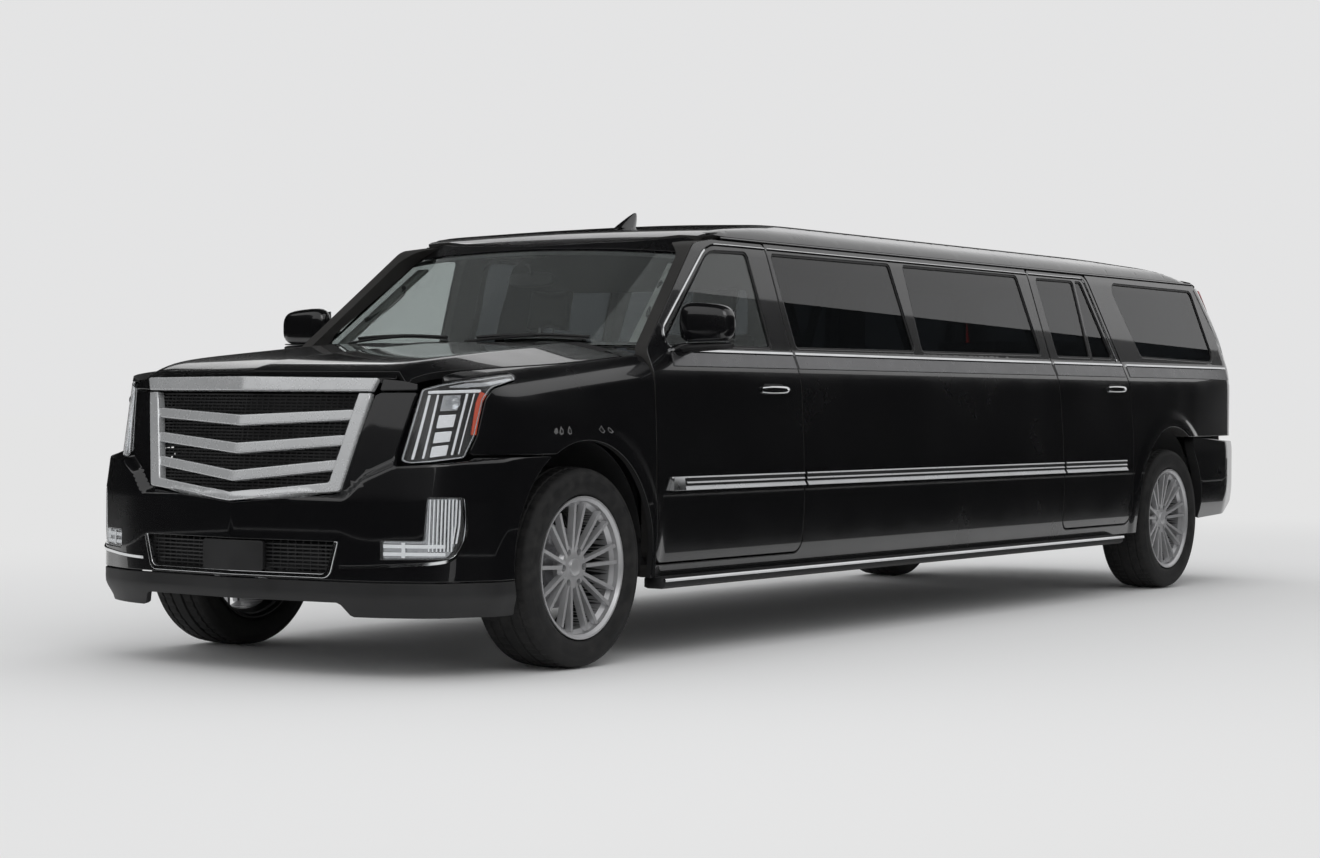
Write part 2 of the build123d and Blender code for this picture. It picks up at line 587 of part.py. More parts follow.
def rear_axle():
    """The live axle: tube, differential and its nose, with the springs that carry the frame."""
    axle = rod((-838, WHEELBASE, HUB_Z), (838, WHEELBASE, HUB_Z), 42)
    axle += Pos(0, WHEELBASE, HUB_Z) * Sphere(148)
    axle += rod((0, WHEELBASE, HUB_Z), (0, WHEELBASE - 260, HUB_Z), 62)
    axle += pair(rod((430, WHEELBASE - 40, 330), (440, 5400, 385), 24))
    axle += pair(Pos(430, WHEELBASE - 20, 390) * Box(90, 150, 130))
    axle += pair(rod((440, WHEELBASE, 420), (440, WHEELBASE, 565), 52))
    return axle - pair(box(380, 500, 5300, 5424, 300, 500))


def drive_line():
    """The long three-piece propeller shaft with its two centre bearings."""
    joints = [(0, 1246, 452), (0, 2535, 430), (0, 4535, 425), (0, WHEELBASE - 262, HUB_Z)]
    line = rod(joints[0], joints[1], 44)
    for near, far in zip(joints[1:], joints[2:]):
        line += rod(near, far, 44)
    return line + box(-60, 60, 2510, 2560, 368, 440) + box(-60, 60, 4510, 4560, 368, 440)


def exhaust():
    """Down-pipe, silencer and tail pipe on the right side."""
    path = [(-319, 250, 540), (-350, 620, 298), (-560, 1000, 296), (-640, 1300, 385), (-640, 3000, 385),
            (-640, 5250, 385), (-548, 5560, 500), (-548, 5750, 540), (-548, 6250, 540), (-620, 6600, 420),
            (-740, 6900, 340), (-860, 7000, 330)]
    pipe = rod((-640, 2800, 385), (-640, 3900, 385), 88)
    for near, far in zip(path, path[1:]):
        pipe += rod(near, far, 28) + Pos(*far) * Sphere(28)
    hangers = box(-640, -480, 3000, 3030, 400, 420) + box(-560, -480, 5900, 5925, 566, 590)
    return pipe + hangers + box(-560, -535, 5900, 5925, 540, 590)


front_liners, rear_housings = wheel_housings()
lower_arms, upper_arms = suspension()
keep("cowl_panel", cowl())
keep("floor_pan", floor_pan())
keep("wheel_housings", Compound(children=[*front_liners.solids(), *rear_housings.solids()]))
keep("chassis_frame", rails())
keep("frame_crossmembers", crossmembers())
keep("front_suspension", Compound(children=[*lower_arms.solids(), *upper_arms.solids()]))
keep("rear_axle", rear_axle())
keep("drive_shaft", drive_line())
keep("exhaust", exhaust())
keep("fuel_tank", box(483, 820, 2650, 3450, 335, 470))
gearbox = rod((0, 398, 530), (0, 640, 515), 150) + rod((0, 620, 510), (0, 1240, 470), 92)
keep("engine", Compound(children=[box(-290, 290, -420, 380, 470, 1040), gearbox.solids()[0]]))
keep("running_boards", pair(box(940, 1046, 520, 5240, 292, 340)))


# ---------------------------------------------------------------- cabin
def dashboard():
    """The dashboard across the cabin, with the console behind it and the steering column's stub."""
    board = prism("yz", [(536, 1200, 0), (850, 1205, 60), (930, 1140, 60), (920, 1000, 60), (740, 880, 0),
                         (536, 880, 0)], -912, (1824, 0, 0))
    board += box(-150, 150, 700, 1560, 731, 930)
    return board + rod(WHEEL_HUB, WHEEL_HUB + WHEEL_AXIS * -330, 32)


WHEEL_AXIS = Vector(0, math.cos(math.radians(24)), math.sin(math.radians(24)))
WHEEL_HUB = Vector(430, 985, 1130)


def steering_wheel():
    """Rim, hub and three spokes, facing the driver."""
    wheel = Torus(182, 15) + Pos(0, 0, -10) * Cylinder(52, 36)
    for angle in (90, 210, 330):
        wheel += Rot(0, 0, angle) * Pos(115, 0, -8) * Box(140, 34, 14)
    plane = Plane(origin=WHEEL_HUB + WHEEL_AXIS * 30, x_dir=(1, 0, 0), z_dir=WHEEL_AXIS)
    return plane.location * wheel


def front_seat():
    """One front seat: plinth, cushion, back and headrest."""
    back = [(1560, 740, 0), (1700, 740, 0), (1830, 1410, 50), (1720, 1420, 50)]
    headrest = [(1750, 1400, 0), (1810, 1400, 0), (1872, 1620, 30), (1782, 1630, 30)]
    seat = box(270, 660, 1180, 1580, 520, 700) + box(225, 715, 1130, 1680, 690, 840)
    seat += prism("yz", back, 230, (480, 0, 0))
    return seat + prism("yz", headrest, 340, (260, 0, 0))


def side_bench():
    """The long lounge seat along the right wall."""
    return prism("xz", [(-922, 520, 0), (-380, 520, 0), (-360, 900, 60), (-760, 930, 40), (-800, 1180, 60),
                        (-922, 1180, 0)], 2050, (0, 2320, 0))


def rear_bench():
    """The lounge's rear seat on the raised floor."""
    return prism("yz", [(5440, 760, 0), (5420, 1030, 60), (5900, 970, 60), (6050, 1480, 60), (6190, 1480, 60),
                        (6090, 760, 0)], -590, (1180, 0, 0))


def divider():
    """The partition behind the front seats, with its window."""
    inside = [(max(a - 2, 0), max(b, 522) if b < 1000 else b - 2, r) for a, b, r in CAVITY]
    wall = prism("xz", both_halves(inside), 1900, (0, 36, 0))
    return wall - box(-600, 600, 1800, 2000, 1180, 1600)


keep("dashboard", dashboard())
keep("steering_wheel", steering_wheel())
keep("front_seats", pair(front_seat()))
keep("side_bench", side_bench())
keep("rear_bench", rear_bench())
keep("bar_cabinet", box(540, 922, 2050, 4150, 520, 1130))
keep("cabin_divider", divider())


# ---------------------------------------------------------------- mirrors
def door_mirror():
    """The left mirror on its arm."""
    head = [(1010, 1300, 50), (1225, 1320, 60), (1235, 1480, 70), (1030, 1500, 60)]
    arm = [(955, 1262, 0), (1090, 1290, 0), (1100, 1330, 0), (940, 1314, 0)]
    return prism("xz", head, 700, (0, 120, 0)) + prism("xz", arm, 720, (0, 80, 0)) - front_door


mirror_left = door_mirror()
keep("door_mirror_left", mirror_left)
keep("door_mirror_right", mirrored(mirror_left))


# ---------------------------------------------------------------- wheels, turned about X, then placed
TYRE = [(112, 279.4), (112, 291), (128, 300), (142.5, 342), (137, 382), (114, 401), (0, TYRE_R),
        (-114, 401), (-137, 382), (-142.5, 342), (-128, 300), (-112, 291), (-112, 279.4), (-98, 279.4),
        (-98, 294), (-126, 345), (-100, 388), (100, 388), (126, 345), (98, 294), (98, 279.4)]
RIM = [(126, 289), (118, 289), (112.5, 279), (92, 279), (84, 262), (-60, 262), (-92, 279),
       (-112.5, 279), (-118, 289), (-126, 289), (-126, 281), (-112, 270), (-92, 268), (-62, 252),
       (80, 252), (94, 268), (114, 270), (126, 281)]
SPOKE = [(48, 50), (80, 60), (112, 262), (84, 262)]
SPOKE_PAIRS = 9
LUGS = 6
LUG_CIRCLE = 69.85


def turned(profile):
    """A ring or disc from its profile of (x, radius) corners."""
    return Solid.revolve(Face(Wire.make_polygon([(a, b, 0) for a, b in profile], close=True)), 360, Axis.X)


def rim():
    """The left rim: barrel, hub and nine pairs of spokes; +x faces out."""
    wheel = turned(RIM) + turned([(41, 0), (80, 0), (80, 82), (62, 92), (41, 92)])
    blade = prism_x([(a, b) for a, b in SPOKE], 15)
    for pair_index in range(SPOKE_PAIRS):
        for side in (-7.6, 7.6):
            wheel += Rot(pair_index * 360 / SPOKE_PAIRS + side, 0, 0) * blade
    for lug in range(LUGS):
        wheel -= Rot(lug * 360 / LUGS + 30, 0, 0) * Pos(60, 0, LUG_CIRCLE) * Rot(0, 90, 0) * Cylinder(14, 60)
    return wheel


def prism_x(profile, width):
    """A bar with its profile of (x, radius) corners in the XZ plane, width wide in Y."""
    face = Face(Wire.make_polygon([(a, -width / 2, b) for a, b in profile], close=True))
    return Solid.extrude(face, Vector(0, width, 0))


def knuckle():
    """The left knuckle: upright, spindle and calliper."""
    body = box(782, 824, -32, 32, 266, 572) + rod((800, 0, 236), (800, 0, 589), 15)
    body += rod((800, 0, HUB_Z), (836, 0, HUB_Z), 52)
    body += box(806, 880, 100, 190, 330, 500)
    body -= disc(832, 874, 0, HUB_Z, 172)
    return body + box(780, 812, 20, 120, 360, 460)


def brake_disc():
    """A left brake disc and its hat, up to the wheel's mounting face."""
    return disc(838, 866, 0, HUB_Z, 168) + disc(860, WHEEL_X + 41, 0, HUB_Z, 84)


rim_left, tyre_left = rim(), turned(TYRE)
disc_left = brake_disc()
for end, station in (("front", 0), ("rear", WHEELBASE)):
    place = Pos(WHEEL_X, station, HUB_Z)
    here = {"rim": place * rim_left, "tyre": place * tyre_left, "brake_disc": Pos(0, station, 0) * disc_left}
    for name, piece in here.items():
        keep(f"{end}_{name}_left", piece)
        keep(f"{end}_{name}_right", mirrored(piece))
left_knuckle = knuckle()
keep("front_knuckle_left", left_knuckle)
keep("front_knuckle_right", mirrored(left_knuckle))

for name, shape in parts.items():
    export_step(Pos(0, FRONT_OVERHANG - LENGTH / 2, 0) * shape, f"parts/{name}.step")
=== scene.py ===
"""The looks of the stretch limousine: smooth painted panels, trim, lamps, wheels, cabin and studio.

Tables are in millimetres, with y behind the front axle, x to the car's left and z up, as the model's
source has them. make_object() turns them into metres in the car's frame. Built for the left side where
both sides match, and mirrored.
"""
import math

import bmesh
import bpy
import numpy as np
from mathutils import Matrix, Vector
from mathutils.geometry import delaunay_2d_cdt
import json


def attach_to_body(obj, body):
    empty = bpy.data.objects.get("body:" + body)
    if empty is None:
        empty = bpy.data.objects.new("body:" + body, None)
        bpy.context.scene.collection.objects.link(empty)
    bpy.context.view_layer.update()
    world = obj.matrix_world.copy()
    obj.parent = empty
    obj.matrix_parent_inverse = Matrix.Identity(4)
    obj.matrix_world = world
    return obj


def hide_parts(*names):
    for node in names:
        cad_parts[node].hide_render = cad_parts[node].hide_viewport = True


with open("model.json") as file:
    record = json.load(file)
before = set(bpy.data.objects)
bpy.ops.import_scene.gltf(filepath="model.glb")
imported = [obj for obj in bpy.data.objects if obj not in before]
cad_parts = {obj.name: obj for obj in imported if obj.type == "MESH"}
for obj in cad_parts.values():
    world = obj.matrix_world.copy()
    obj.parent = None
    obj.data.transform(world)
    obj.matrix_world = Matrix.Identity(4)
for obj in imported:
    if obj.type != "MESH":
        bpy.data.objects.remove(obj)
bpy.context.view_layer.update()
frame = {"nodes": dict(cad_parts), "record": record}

# ---------------------------------------------------------------- sizes shared with the model
AXLE_Y = -3124.5
WHEELBASE = 5994.0
WHEEL_X = 872.5
HUB_Z = 407.5
TYRE_R = 407.5
ARCH_R, ARCH_Z = 475.0, 445.0
REAR_ARCH_R, REAR_ARCH_Z = 485.0, 460.0
FENDER_END = 500.0
GAP = 8.0
ROLL = 3.0                 # radius of a panel's edge
FLARE = 9.0                # how far the wheel arches' lips stand out
LIP_DROP, LIP_REACH = 62.0, 95.0      # how far the hood's front edge rolls down, and over what length

SECTION = [(985, 330, 60), (1019, 520, 1400), (1022, 860, 3500), (1008, 1185, 280), (958, 1300, 250),
           (822, 1765, 150), (772, 1866, 110), (600, 1920, 300), (0, 1945, 6000), (-600, 1920, 0)]
FRONT_SECTION = [(1010, 200, 0), (1018, 560, 1400), (1012, 860, 900), (980, 1020, 160), (905, 1112, 120),
                 (640, 1205, 60), (0, 1215, 0)]
COWL_SECTION = [(1000, 200, 0), (1019, 560, 1400), (1021, 900, 900), (1006, 1190, 160), (945, 1272, 90),
                (640, 1336, 60), (0, 1345, 0)]
NOSE_PLAN = [(0, -985, 0), (575, -898, 260), (800, -800, 200), (985, -570, 330), (1100, 350, 0)]
BUMPER_PLAN = [(0, -989, 0), (620, -925, 600), (880, -800, 220), (1004, -560, 150), (1016, -400, 0)]
TAIL_PLAN = [(1100, 300, 0), (1030, 6350, 0), (985, 7000, 160), (800, 7145, 150), (0, 7178, 0)]

CAVITY = [(938, 250, 0), (938, 1170, 80), (900, 1290, 60), (772, 1730, 60), (690, 1785, 150), (0, 1828, 0)]
ROOF_LINE = [(900, 1655, 0), (1160, 1842, 900), (2200, 1945, 2500), (5300, 1945, 9000), (6330, 1905, 1200),
             (6710, 1832, 400), (6900, 1800, 0), (7100, 1740, 0)]

FRONT_DOOR = [(508, 400, 60), (508, 1300, 60), (1085, 1778, 120), (1250, 1800, 0), (1690, 1800, 20),
              (1705, 1305, 0), (1728, 400, 60)]
REAR_DOOR = [(4528, 400, 60), (4462, 1305, 0), (4440, 1800, 20), (5195, 1800, 60), (5385, 1305, 60),
             (5425, 900, 0), (5425, 400, 80)]
FRONT_WINDOW = [(596, 1318, 34), (1190, 1748, 210), (1522, 1755, 30), (1543, 1318, 25)]
REAR_WINDOW = [(4556, 1330, 25), (4528, 1760, 25), (5012, 1762, 25), (4985, 1330, 25)]
VENT_WINDOW = [(5012, 1330, 12), (5040, 1762, 12), (5118, 1762, 30), (5290, 1330, 25)]
SIDE_WINDOWS = [
    [(1757, 1322, 25), (1730, 1758, 25), (2868, 1762, 25), (2916, 1328, 25)],
    [(2988, 1328, 25), (3004, 1762, 25), (4298, 1764, 25), (4362, 1334, 25)],
    [(5700, 1345, 40), (5490, 1772, 60), (6715, 1768, 40), (6805, 1330, 60)],
]


# ---------------------------------------------------------------- outlines and curves
def rounded(corners, closed=True, spacing=30.0, arc=9):
    """Points (n, 2) along an outline of (a, b, radius) corners. Its rounded corners are tangent arcs."""
    points = np.array([(a, b) for a, b, _ in corners], float)
    count = len(points)
    stops = []
    for i in range(count):
        radius = corners[i][2]
        if radius <= 0 or (not closed and i in (0, count - 1)):
            stops.append([points[i]])
            continue
        back, ahead = points[i - 1] - points[i], points[(i + 1) % count] - points[i]
        back, ahead = back / np.linalg.norm(back), ahead / np.linalg.norm(ahead)
        half = math.acos(np.clip(back @ ahead, -1, 1)) / 2
        middle = (back + ahead) / np.linalg.norm(back + ahead)
        centre = points[i] + middle * radius / math.sin(half)
        start, end = points[i] + back * radius / math.tan(half), points[i] + ahead * radius / math.tan(half)
        a0 = math.atan2(*(start - centre)[::-1])
        turn = math.atan2(*(end - centre)[::-1]) - a0
        turn = (turn + math.pi) % (2 * math.pi) - math.pi
        stops.append([centre + radius * np.array([math.cos(a0 + turn * k / arc),
                                                  math.sin(a0 + turn * k / arc)])
                      for k in range(arc + 1)])
    line = []
    for i, stop in enumerate(stops):
        line.extend(stop)
        if closed or i + 1 < count:
            after = stops[(i + 1) % count][0]
            pieces = max(1, int(np.linalg.norm(after - stop[-1]) // spacing))
            line.extend(stop[-1] + (after - stop[-1]) * k / pieces for k in range(1, pieces))
    return np.array(line)


def smoothed(corners, sigma=9.0, step=2.0):
    """An open outline, evenly spaced and with its corners blended a little further, for tables."""
    line = rounded(corners, closed=False, spacing=4.0, arc=40)
    along = np.concatenate([[0], np.cumsum(np.linalg.norm(np.diff(line, axis=0), axis=1))])
    even = np.arange(0, along[-1], step)
    line = np.stack([np.interp(even, along, line[:, k]) for k in (0, 1)], axis=1)
    reach = int(3 * sigma / step)
    kernel = np.exp(-0.5 * (np.arange(-reach, reach + 1) * step / sigma) ** 2)
    kernel /= kernel.sum()
    ends = [line[0] + (line[0] - line[1]) * np.arange(reach, 0, -1)[:, None],
            line[-1] + (line[-1] - line[-2]) * np.arange(1, reach + 1)[:, None]]
    padded = np.concatenate([ends[0], line, ends[1]])
    return np.stack([np.convolve(padded[:, k], kernel, "valid") for k in (0, 1)], axis=1)


def soft_min(a, b, blend=30.0):
    """The smaller of two values, rounded where they meet."""
    h = np.clip(0.5 + 0.5 * (b - a) / blend, 0, 1)
    return b * (1 - h) + a * h - blend * h * (1 - h)


def smooth_step(low, high, value):
    h = np.clip((value - low) / (high - low), 0, 1)
    return h * h * (3 - 2 * h)


body_curve = smoothed(SECTION)
front_curve, cowl_curve = smoothed(FRONT_SECTION), smoothed(COWL_SECTION)
nose_curve, bumper_curve, tail_curve = smoothed(NOSE_PLAN, 14), smoothed(BUMPER_PLAN,
                                                                         14), smoothed(TAIL_PLAN, 14)
body_side_curve = body_curve[: int(np.argmax(body_curve[:, 0] < 690))]


def by_height(curve, z):
    return np.interp(z, curve[:, 1], curve[:, 0])


def rise(z):
    """How far the nose has leaned back at a height."""
    return np.maximum(z - 700.0, 0) * 85 / 465


def nose_half(y, z):
    """Half width of the nose's plan at a station and height."""
    keep = nose_curve[:, 0] > 200
    return np.interp(y - rise(z), nose_curve[keep, 1], nose_curve[keep, 0])


def nose_y(x, z):
    """Station of the nose's face at a half width and height."""
    return np.interp(x, nose_curve[:, 0], nose_curve[:, 1]) + rise(z)


def tail_half(y, z):
    """Half width of the tail's plan at a station and height."""
    line = tail_curve[tail_curve[:, 1] > 5000]
    line = line[np.argsort(line[:, 1])]
    return np.interp(y + np.maximum(z - 1300.0, 0) * 290 / 520, line[:, 1], line[:, 0])


def flare(y, z):
    """How far the wheel arches' lips stand out."""
    front = np.hypot(y, z - ARCH_Z)
    rear = np.hypot(y - WHEELBASE, z - REAR_ARCH_Z)
    lip = 1 - smooth_step(ARCH_R + 40, ARCH_R + 104, front)
    rear_lip = 1 - smooth_step(REAR_ARCH_R + 40, REAR_ARCH_R + 104, rear)
    return FLARE * np.maximum(lip, rear_lip)


def flare_rows(centre, radius, start, end):
    """Points on rings where an arch's lip rises, between two angles in degrees."""
    rings = []
    for out in (36, 52, 66, 80, 94, 108):
        turns = np.radians(np.linspace(start, end, int((radius + out) * math.radians(end - start) / 22)))
        rings.append(np.stack([centre[0] + (radius + out) * np.cos(turns),
                               centre[1] + (radius + out) * np.sin(turns)], 1))
    return np.concatenate(rings)


def section_x(y, z):
    """Half width of the painted side by its cross-sections alone."""
    share = np.clip((y + 1000) / 1500, 0, 1)
    front = by_height(front_curve[front_curve[:, 1] < 1200], z) * (1 - share)
    front = front + by_height(cowl_curve[cowl_curve[:, 1] < 1330], z) * share
    return np.where(y < FENDER_END, front, by_height(body_side_curve, z))


def side_x(y, z):
    """Half width of the painted side, from the fender's front to the tail."""
    y, z = np.asarray(y, float), np.asarray(z, float)
    width = section_x(y, z)
    width = np.where(y < 350, soft_min(width, nose_half(y, z), 34), width)
    width = np.where(y > 5800, soft_min(width, tail_half(y, z), 40), width)
    return width + flare(y, z)


def side_at(uv):
    """Side surface: (y, z) to a point."""
    return np.stack([side_x(uv[:, 0], uv[:, 1]), uv[:, 0], uv[:, 1]], axis=1)


def cavity_at(uv):
    """The cabin's inner wall behind a point of the side."""
    cavity = smoothed(CAVITY)
    x = by_height(cavity[: int(np.argmax(cavity[:, 0] < 690))], uv[:, 1])
    return np.stack([x, uv[:, 0], uv[:, 1]], axis=1)


def crown(curve, x):
    """Height of the top of a cross-section at a half width."""
    line = curve[curve[:, 1] > 1000][::-1]
    return np.interp(x, line[:, 0], line[:, 1])


def hood_at(uv):
    """Hood and fender-top surface: (x, y) to a point, rolled down to the grille at its front."""
    x, y = uv[:, 0], uv[:, 1]
    share = np.clip((y + 1000) / 1500, 0, 1)
    z = crown(front_curve, np.abs(x)) * (1 - share) + crown(cowl_curve, np.abs(x)) * share
    behind = np.maximum(y - nose_y(np.abs(x), 1166.0), 0)
    return np.stack([x, y, z - LIP_DROP * np.exp(-behind / LIP_REACH)], axis=1)


roof_line = smoothed(ROOF_LINE, 40)


def roof_at(uv):
    """Roof surface: (x, y) to a point."""
    x, y = uv[:, 0], uv[:, 1]
    top = np.interp(y, roof_line[:, 0], roof_line[:, 1]) - 2e-5 * x * x
    return np.stack([x, y, soft_min(crown(body_curve, np.abs(x)), top, 26)], axis=1)


def plan_pair(y_end=-262.0, count=600):
    """The bumper's and the nose's plans, from the middle to over the wheel, with matching points."""
    both = []
    for curve in (bumper_curve, nose_curve):
        if curve[-1, 1] < y_end:
            curve = np.concatenate([curve, [(curve[-1, 0], y_end)]])
        line = curve[(curve[:, 1] <= y_end) | (curve[:, 0] < 300)]
        along = np.concatenate([[0], np.cumsum(np.linalg.norm(np.diff(line, axis=0), axis=1))])
        even = np.linspace(0, along[-1], count)
        both.append(np.stack([np.interp(even, along, line[:, k]) for k in (0, 1)], axis=1))
    return both


bumper_plan, nose_plan = plan_pair()
NOSE_LENGTH = 1405.0       # along the plan, from the middle to over the wheel
CREASE = [(0, 700), (505, 700), (522, 712), (585, 778), (690, 830), (960, 846), (1405, 858)]   # t, z


def nose_at(uv):
    """Nose and bumper surface: (distance along the plan, z) to a point, negative on the right."""
    t, z = np.abs(uv[:, 0]) / NOSE_LENGTH, uv[:, 1]
    crease = np.interp(np.abs(uv[:, 0]), *np.array(CREASE).T)
    step = smooth_step(crease - 8, crease + 20, z)
    at = np.linspace(0, 1, len(bumper_plan))
    low = [np.interp(t, at, bumper_plan[:, k]) for k in (0, 1)]
    high = [np.interp(t, at, nose_plan[:, k]) for k in (0, 1)]
    x, y = (low[k] * (1 - step) + high[k] * step for k in (0, 1))
    y = y + rise(z)
    tuck = 34 * (1 - smooth_step(236, 330, z))
    x = soft_min(x, section_x(y, z), 20) - tuck * smooth_step(700, 1000, x)
    return np.stack([x * np.sign(uv[:, 0] + 1e-9), y + tuck * (1 - smooth_step(-700, -480, y)), z], axis=1)


# ---------------------------------------------------------------- mesh building
def tidy_outline(outline):
    """The outline without doubled points."""
    gaps = np.linalg.norm(outline - np.roll(outline, 1, axis=0), axis=1)
    return outline[gaps > 0.4]


def inside(points, outline):
    """Which of the points lie inside a closed outline."""
    x, y = points[:, 0][:, None], points[:, 1][:, None]
    x0, y0 = outline[:, 0], outline[:, 1]
    x1, y1 = np.roll(x0, -1), np.roll(y0, -1)
    crosses = ((y0 > y) != (y1 > y)) & (x < (x1 - x0) * (y - y0) / (y1 - y0 + 1e-12) + x0)
    return crosses.sum(axis=1) % 2 == 1


def area_of(outline):
    ahead = np.roll(outline, -1, axis=0)
    return np.sum(outline[:, 0] * ahead[:, 1] - ahead[:, 0] * outline[:, 1]) / 2


def shifted(outline, amount):
    """A dense closed outline moved in by amount, or out if it is negative."""
    before, after = np.roll(outline, 1, axis=0), np.roll(outline, -1, axis=0)
    e0, e1 = outline - before, after - outline
    e0, e1 = e0 / np.linalg.norm(e0, axis=1)[:, None], e1 / np.linalg.norm(e1, axis=1)[:, None]
    n0, n1 = np.stack([-e0[:, 1], e0[:, 0]], 1), np.stack([-e1[:, 1], e1[:, 0]], 1)
    middle = n0 + n1
    middle /= np.linalg.norm(middle, axis=1)[:, None]
    scale = 1 / np.maximum((middle * n0).sum(axis=1), 0.45)
    return outline + middle * (amount * scale * (1 if area_of(outline) > 0 else -1))[:, None]


def normals_of(surface, uv, step=1.5):
    """Unit outward normals of a surface, by differences."""
    du, dv = np.array([[step, 0]]), np.array([[0, step]])
    n = np.cross(surface(uv + du) - surface(uv - du), surface(uv + dv) - surface(uv - dv))
    return n / np.linalg.norm(n, axis=1)[:, None]


def triangulate(outer, holes, spacing, rows=()):
    """Points, triangles and loop sizes of an outline with holes, with inner points and more rows."""
    loops = [outer, *holes]
    low, high = outer.min(axis=0), outer.max(axis=0)
    steps = [np.linspace(low[k], high[k], max(2, int((high[k] - low[k]) / spacing[k]) + 1)) for k in (0, 1)]
    grid = np.stack(np.meshgrid(*steps), axis=-1).reshape(-1, 2)
    margin = np.full(len(grid), 0.3 * min(spacing))
    if len(rows):
        far = [np.linalg.norm(grid[k] - rows, axis=1).min() > 11 for k in range(len(grid))]
        grid = np.concatenate([grid[far], rows])
        margin = np.concatenate([margin[far], np.full(len(rows), 4.0)])
    keep = inside(grid, outer)
    for loop in loops:
        for start in range(0, len(grid), 4000):
            part = slice(start, start + 4000)
            near = np.linalg.norm(grid[part][:, None] - loop[None], axis=2).min(axis=1) < margin[part]
            keep[part] &= ~near
    for hole in holes:
        keep &= ~inside(grid, hole)
    points, edges, start = np.concatenate([*loops, grid[keep]]), [], 0
    for loop in loops:
        edges += [(start + i, start + (i + 1) % len(loop)) for i in range(len(loop))]
        start += len(loop)
    verts, _, faces, _, _, _ = delaunay_2d_cdt([Vector(p) for p in points], edges, [], 0, 1e-4)
    if len(verts) != len(points):
        raise ValueError(f"an outline crosses itself or has doubled points: {len(points)} {len(verts)}")
    faces = np.array(faces)
    middle = points[faces].mean(axis=1)
    good = inside(middle, outer)
    for hole in holes:
        good &= ~inside(middle, hole)
    faces = faces[good]
    a, b, c = points[faces[:, 0]], points[faces[:, 1]], points[faces[:, 2]]
    flip = (b - a)[:, 0] * (c - a)[:, 1] - (b - a)[:, 1] * (c - a)[:, 0] < 0
    faces[flip] = faces[flip][:, ::-1]
    return points, faces, [len(loop) for loop in loops]


def make_object(name, verts, faces, normals=None, materials=(), slots=None, smooth=True):
    """A mesh object from millimetre points behind the front axle, with loop normals if they are given."""
    mesh = bpy.data.meshes.new(name)
    places = np.asarray(verts, float) / 1000 + np.array([0, AXLE_Y / 1000, 0])
    mesh.from_pydata(places.tolist(), [], [list(map(int, f)) for f in faces])
    for material in materials:
        mesh.materials.append(material)
    if slots is not None:
        mesh.polygons.foreach_set("material_index", slots)
    mesh.polygons.foreach_set("use_smooth", [smooth] * len(mesh.polygons))
    if normals is not None:
        mesh.normals_split_custom_set([tuple(n) for n in normals])
    obj = bpy.data.objects.new(name, mesh)
    bpy.context.scene.collection.objects.link(obj)
    return obj


def both_sides(name, verts, faces, normals, materials, slots=None, smooth=True, mirror=True):
    """The piece and, if mirror, its mirror image with "left" in its name turned to "right"."""
    verts = np.asarray(verts, float)
    made = [make_object(name, verts, faces, normals, materials, slots, smooth)]
    if not mirror:
        return made
    turned_normals, at = [], 0
    if normals is not None:
        for face in faces:
            turned_normals.extend((np.asarray(normals[at:at + len(face)]) * (-1, 1, 1))[::-1])
            at += len(face)
    other = name.replace("left", "right") if "left" in name else name + "_right"
    made.append(make_object(other, verts * (-1, 1, 1), [tuple(face)[::-1] for face in faces],
                            turned_normals if normals is not None else None, materials, slots, smooth))
    return made


def attach(objects, body, nodes=()):
    """Each object rides on its side's body and stands for its side's nodes."""
    for obj, side in zip(objects, ("left", "right")):
        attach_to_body(obj, body.replace("left", side))
        for node in nodes:
            if side == "left" or "left" in node:
                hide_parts(node.replace("left", side))
    return objects


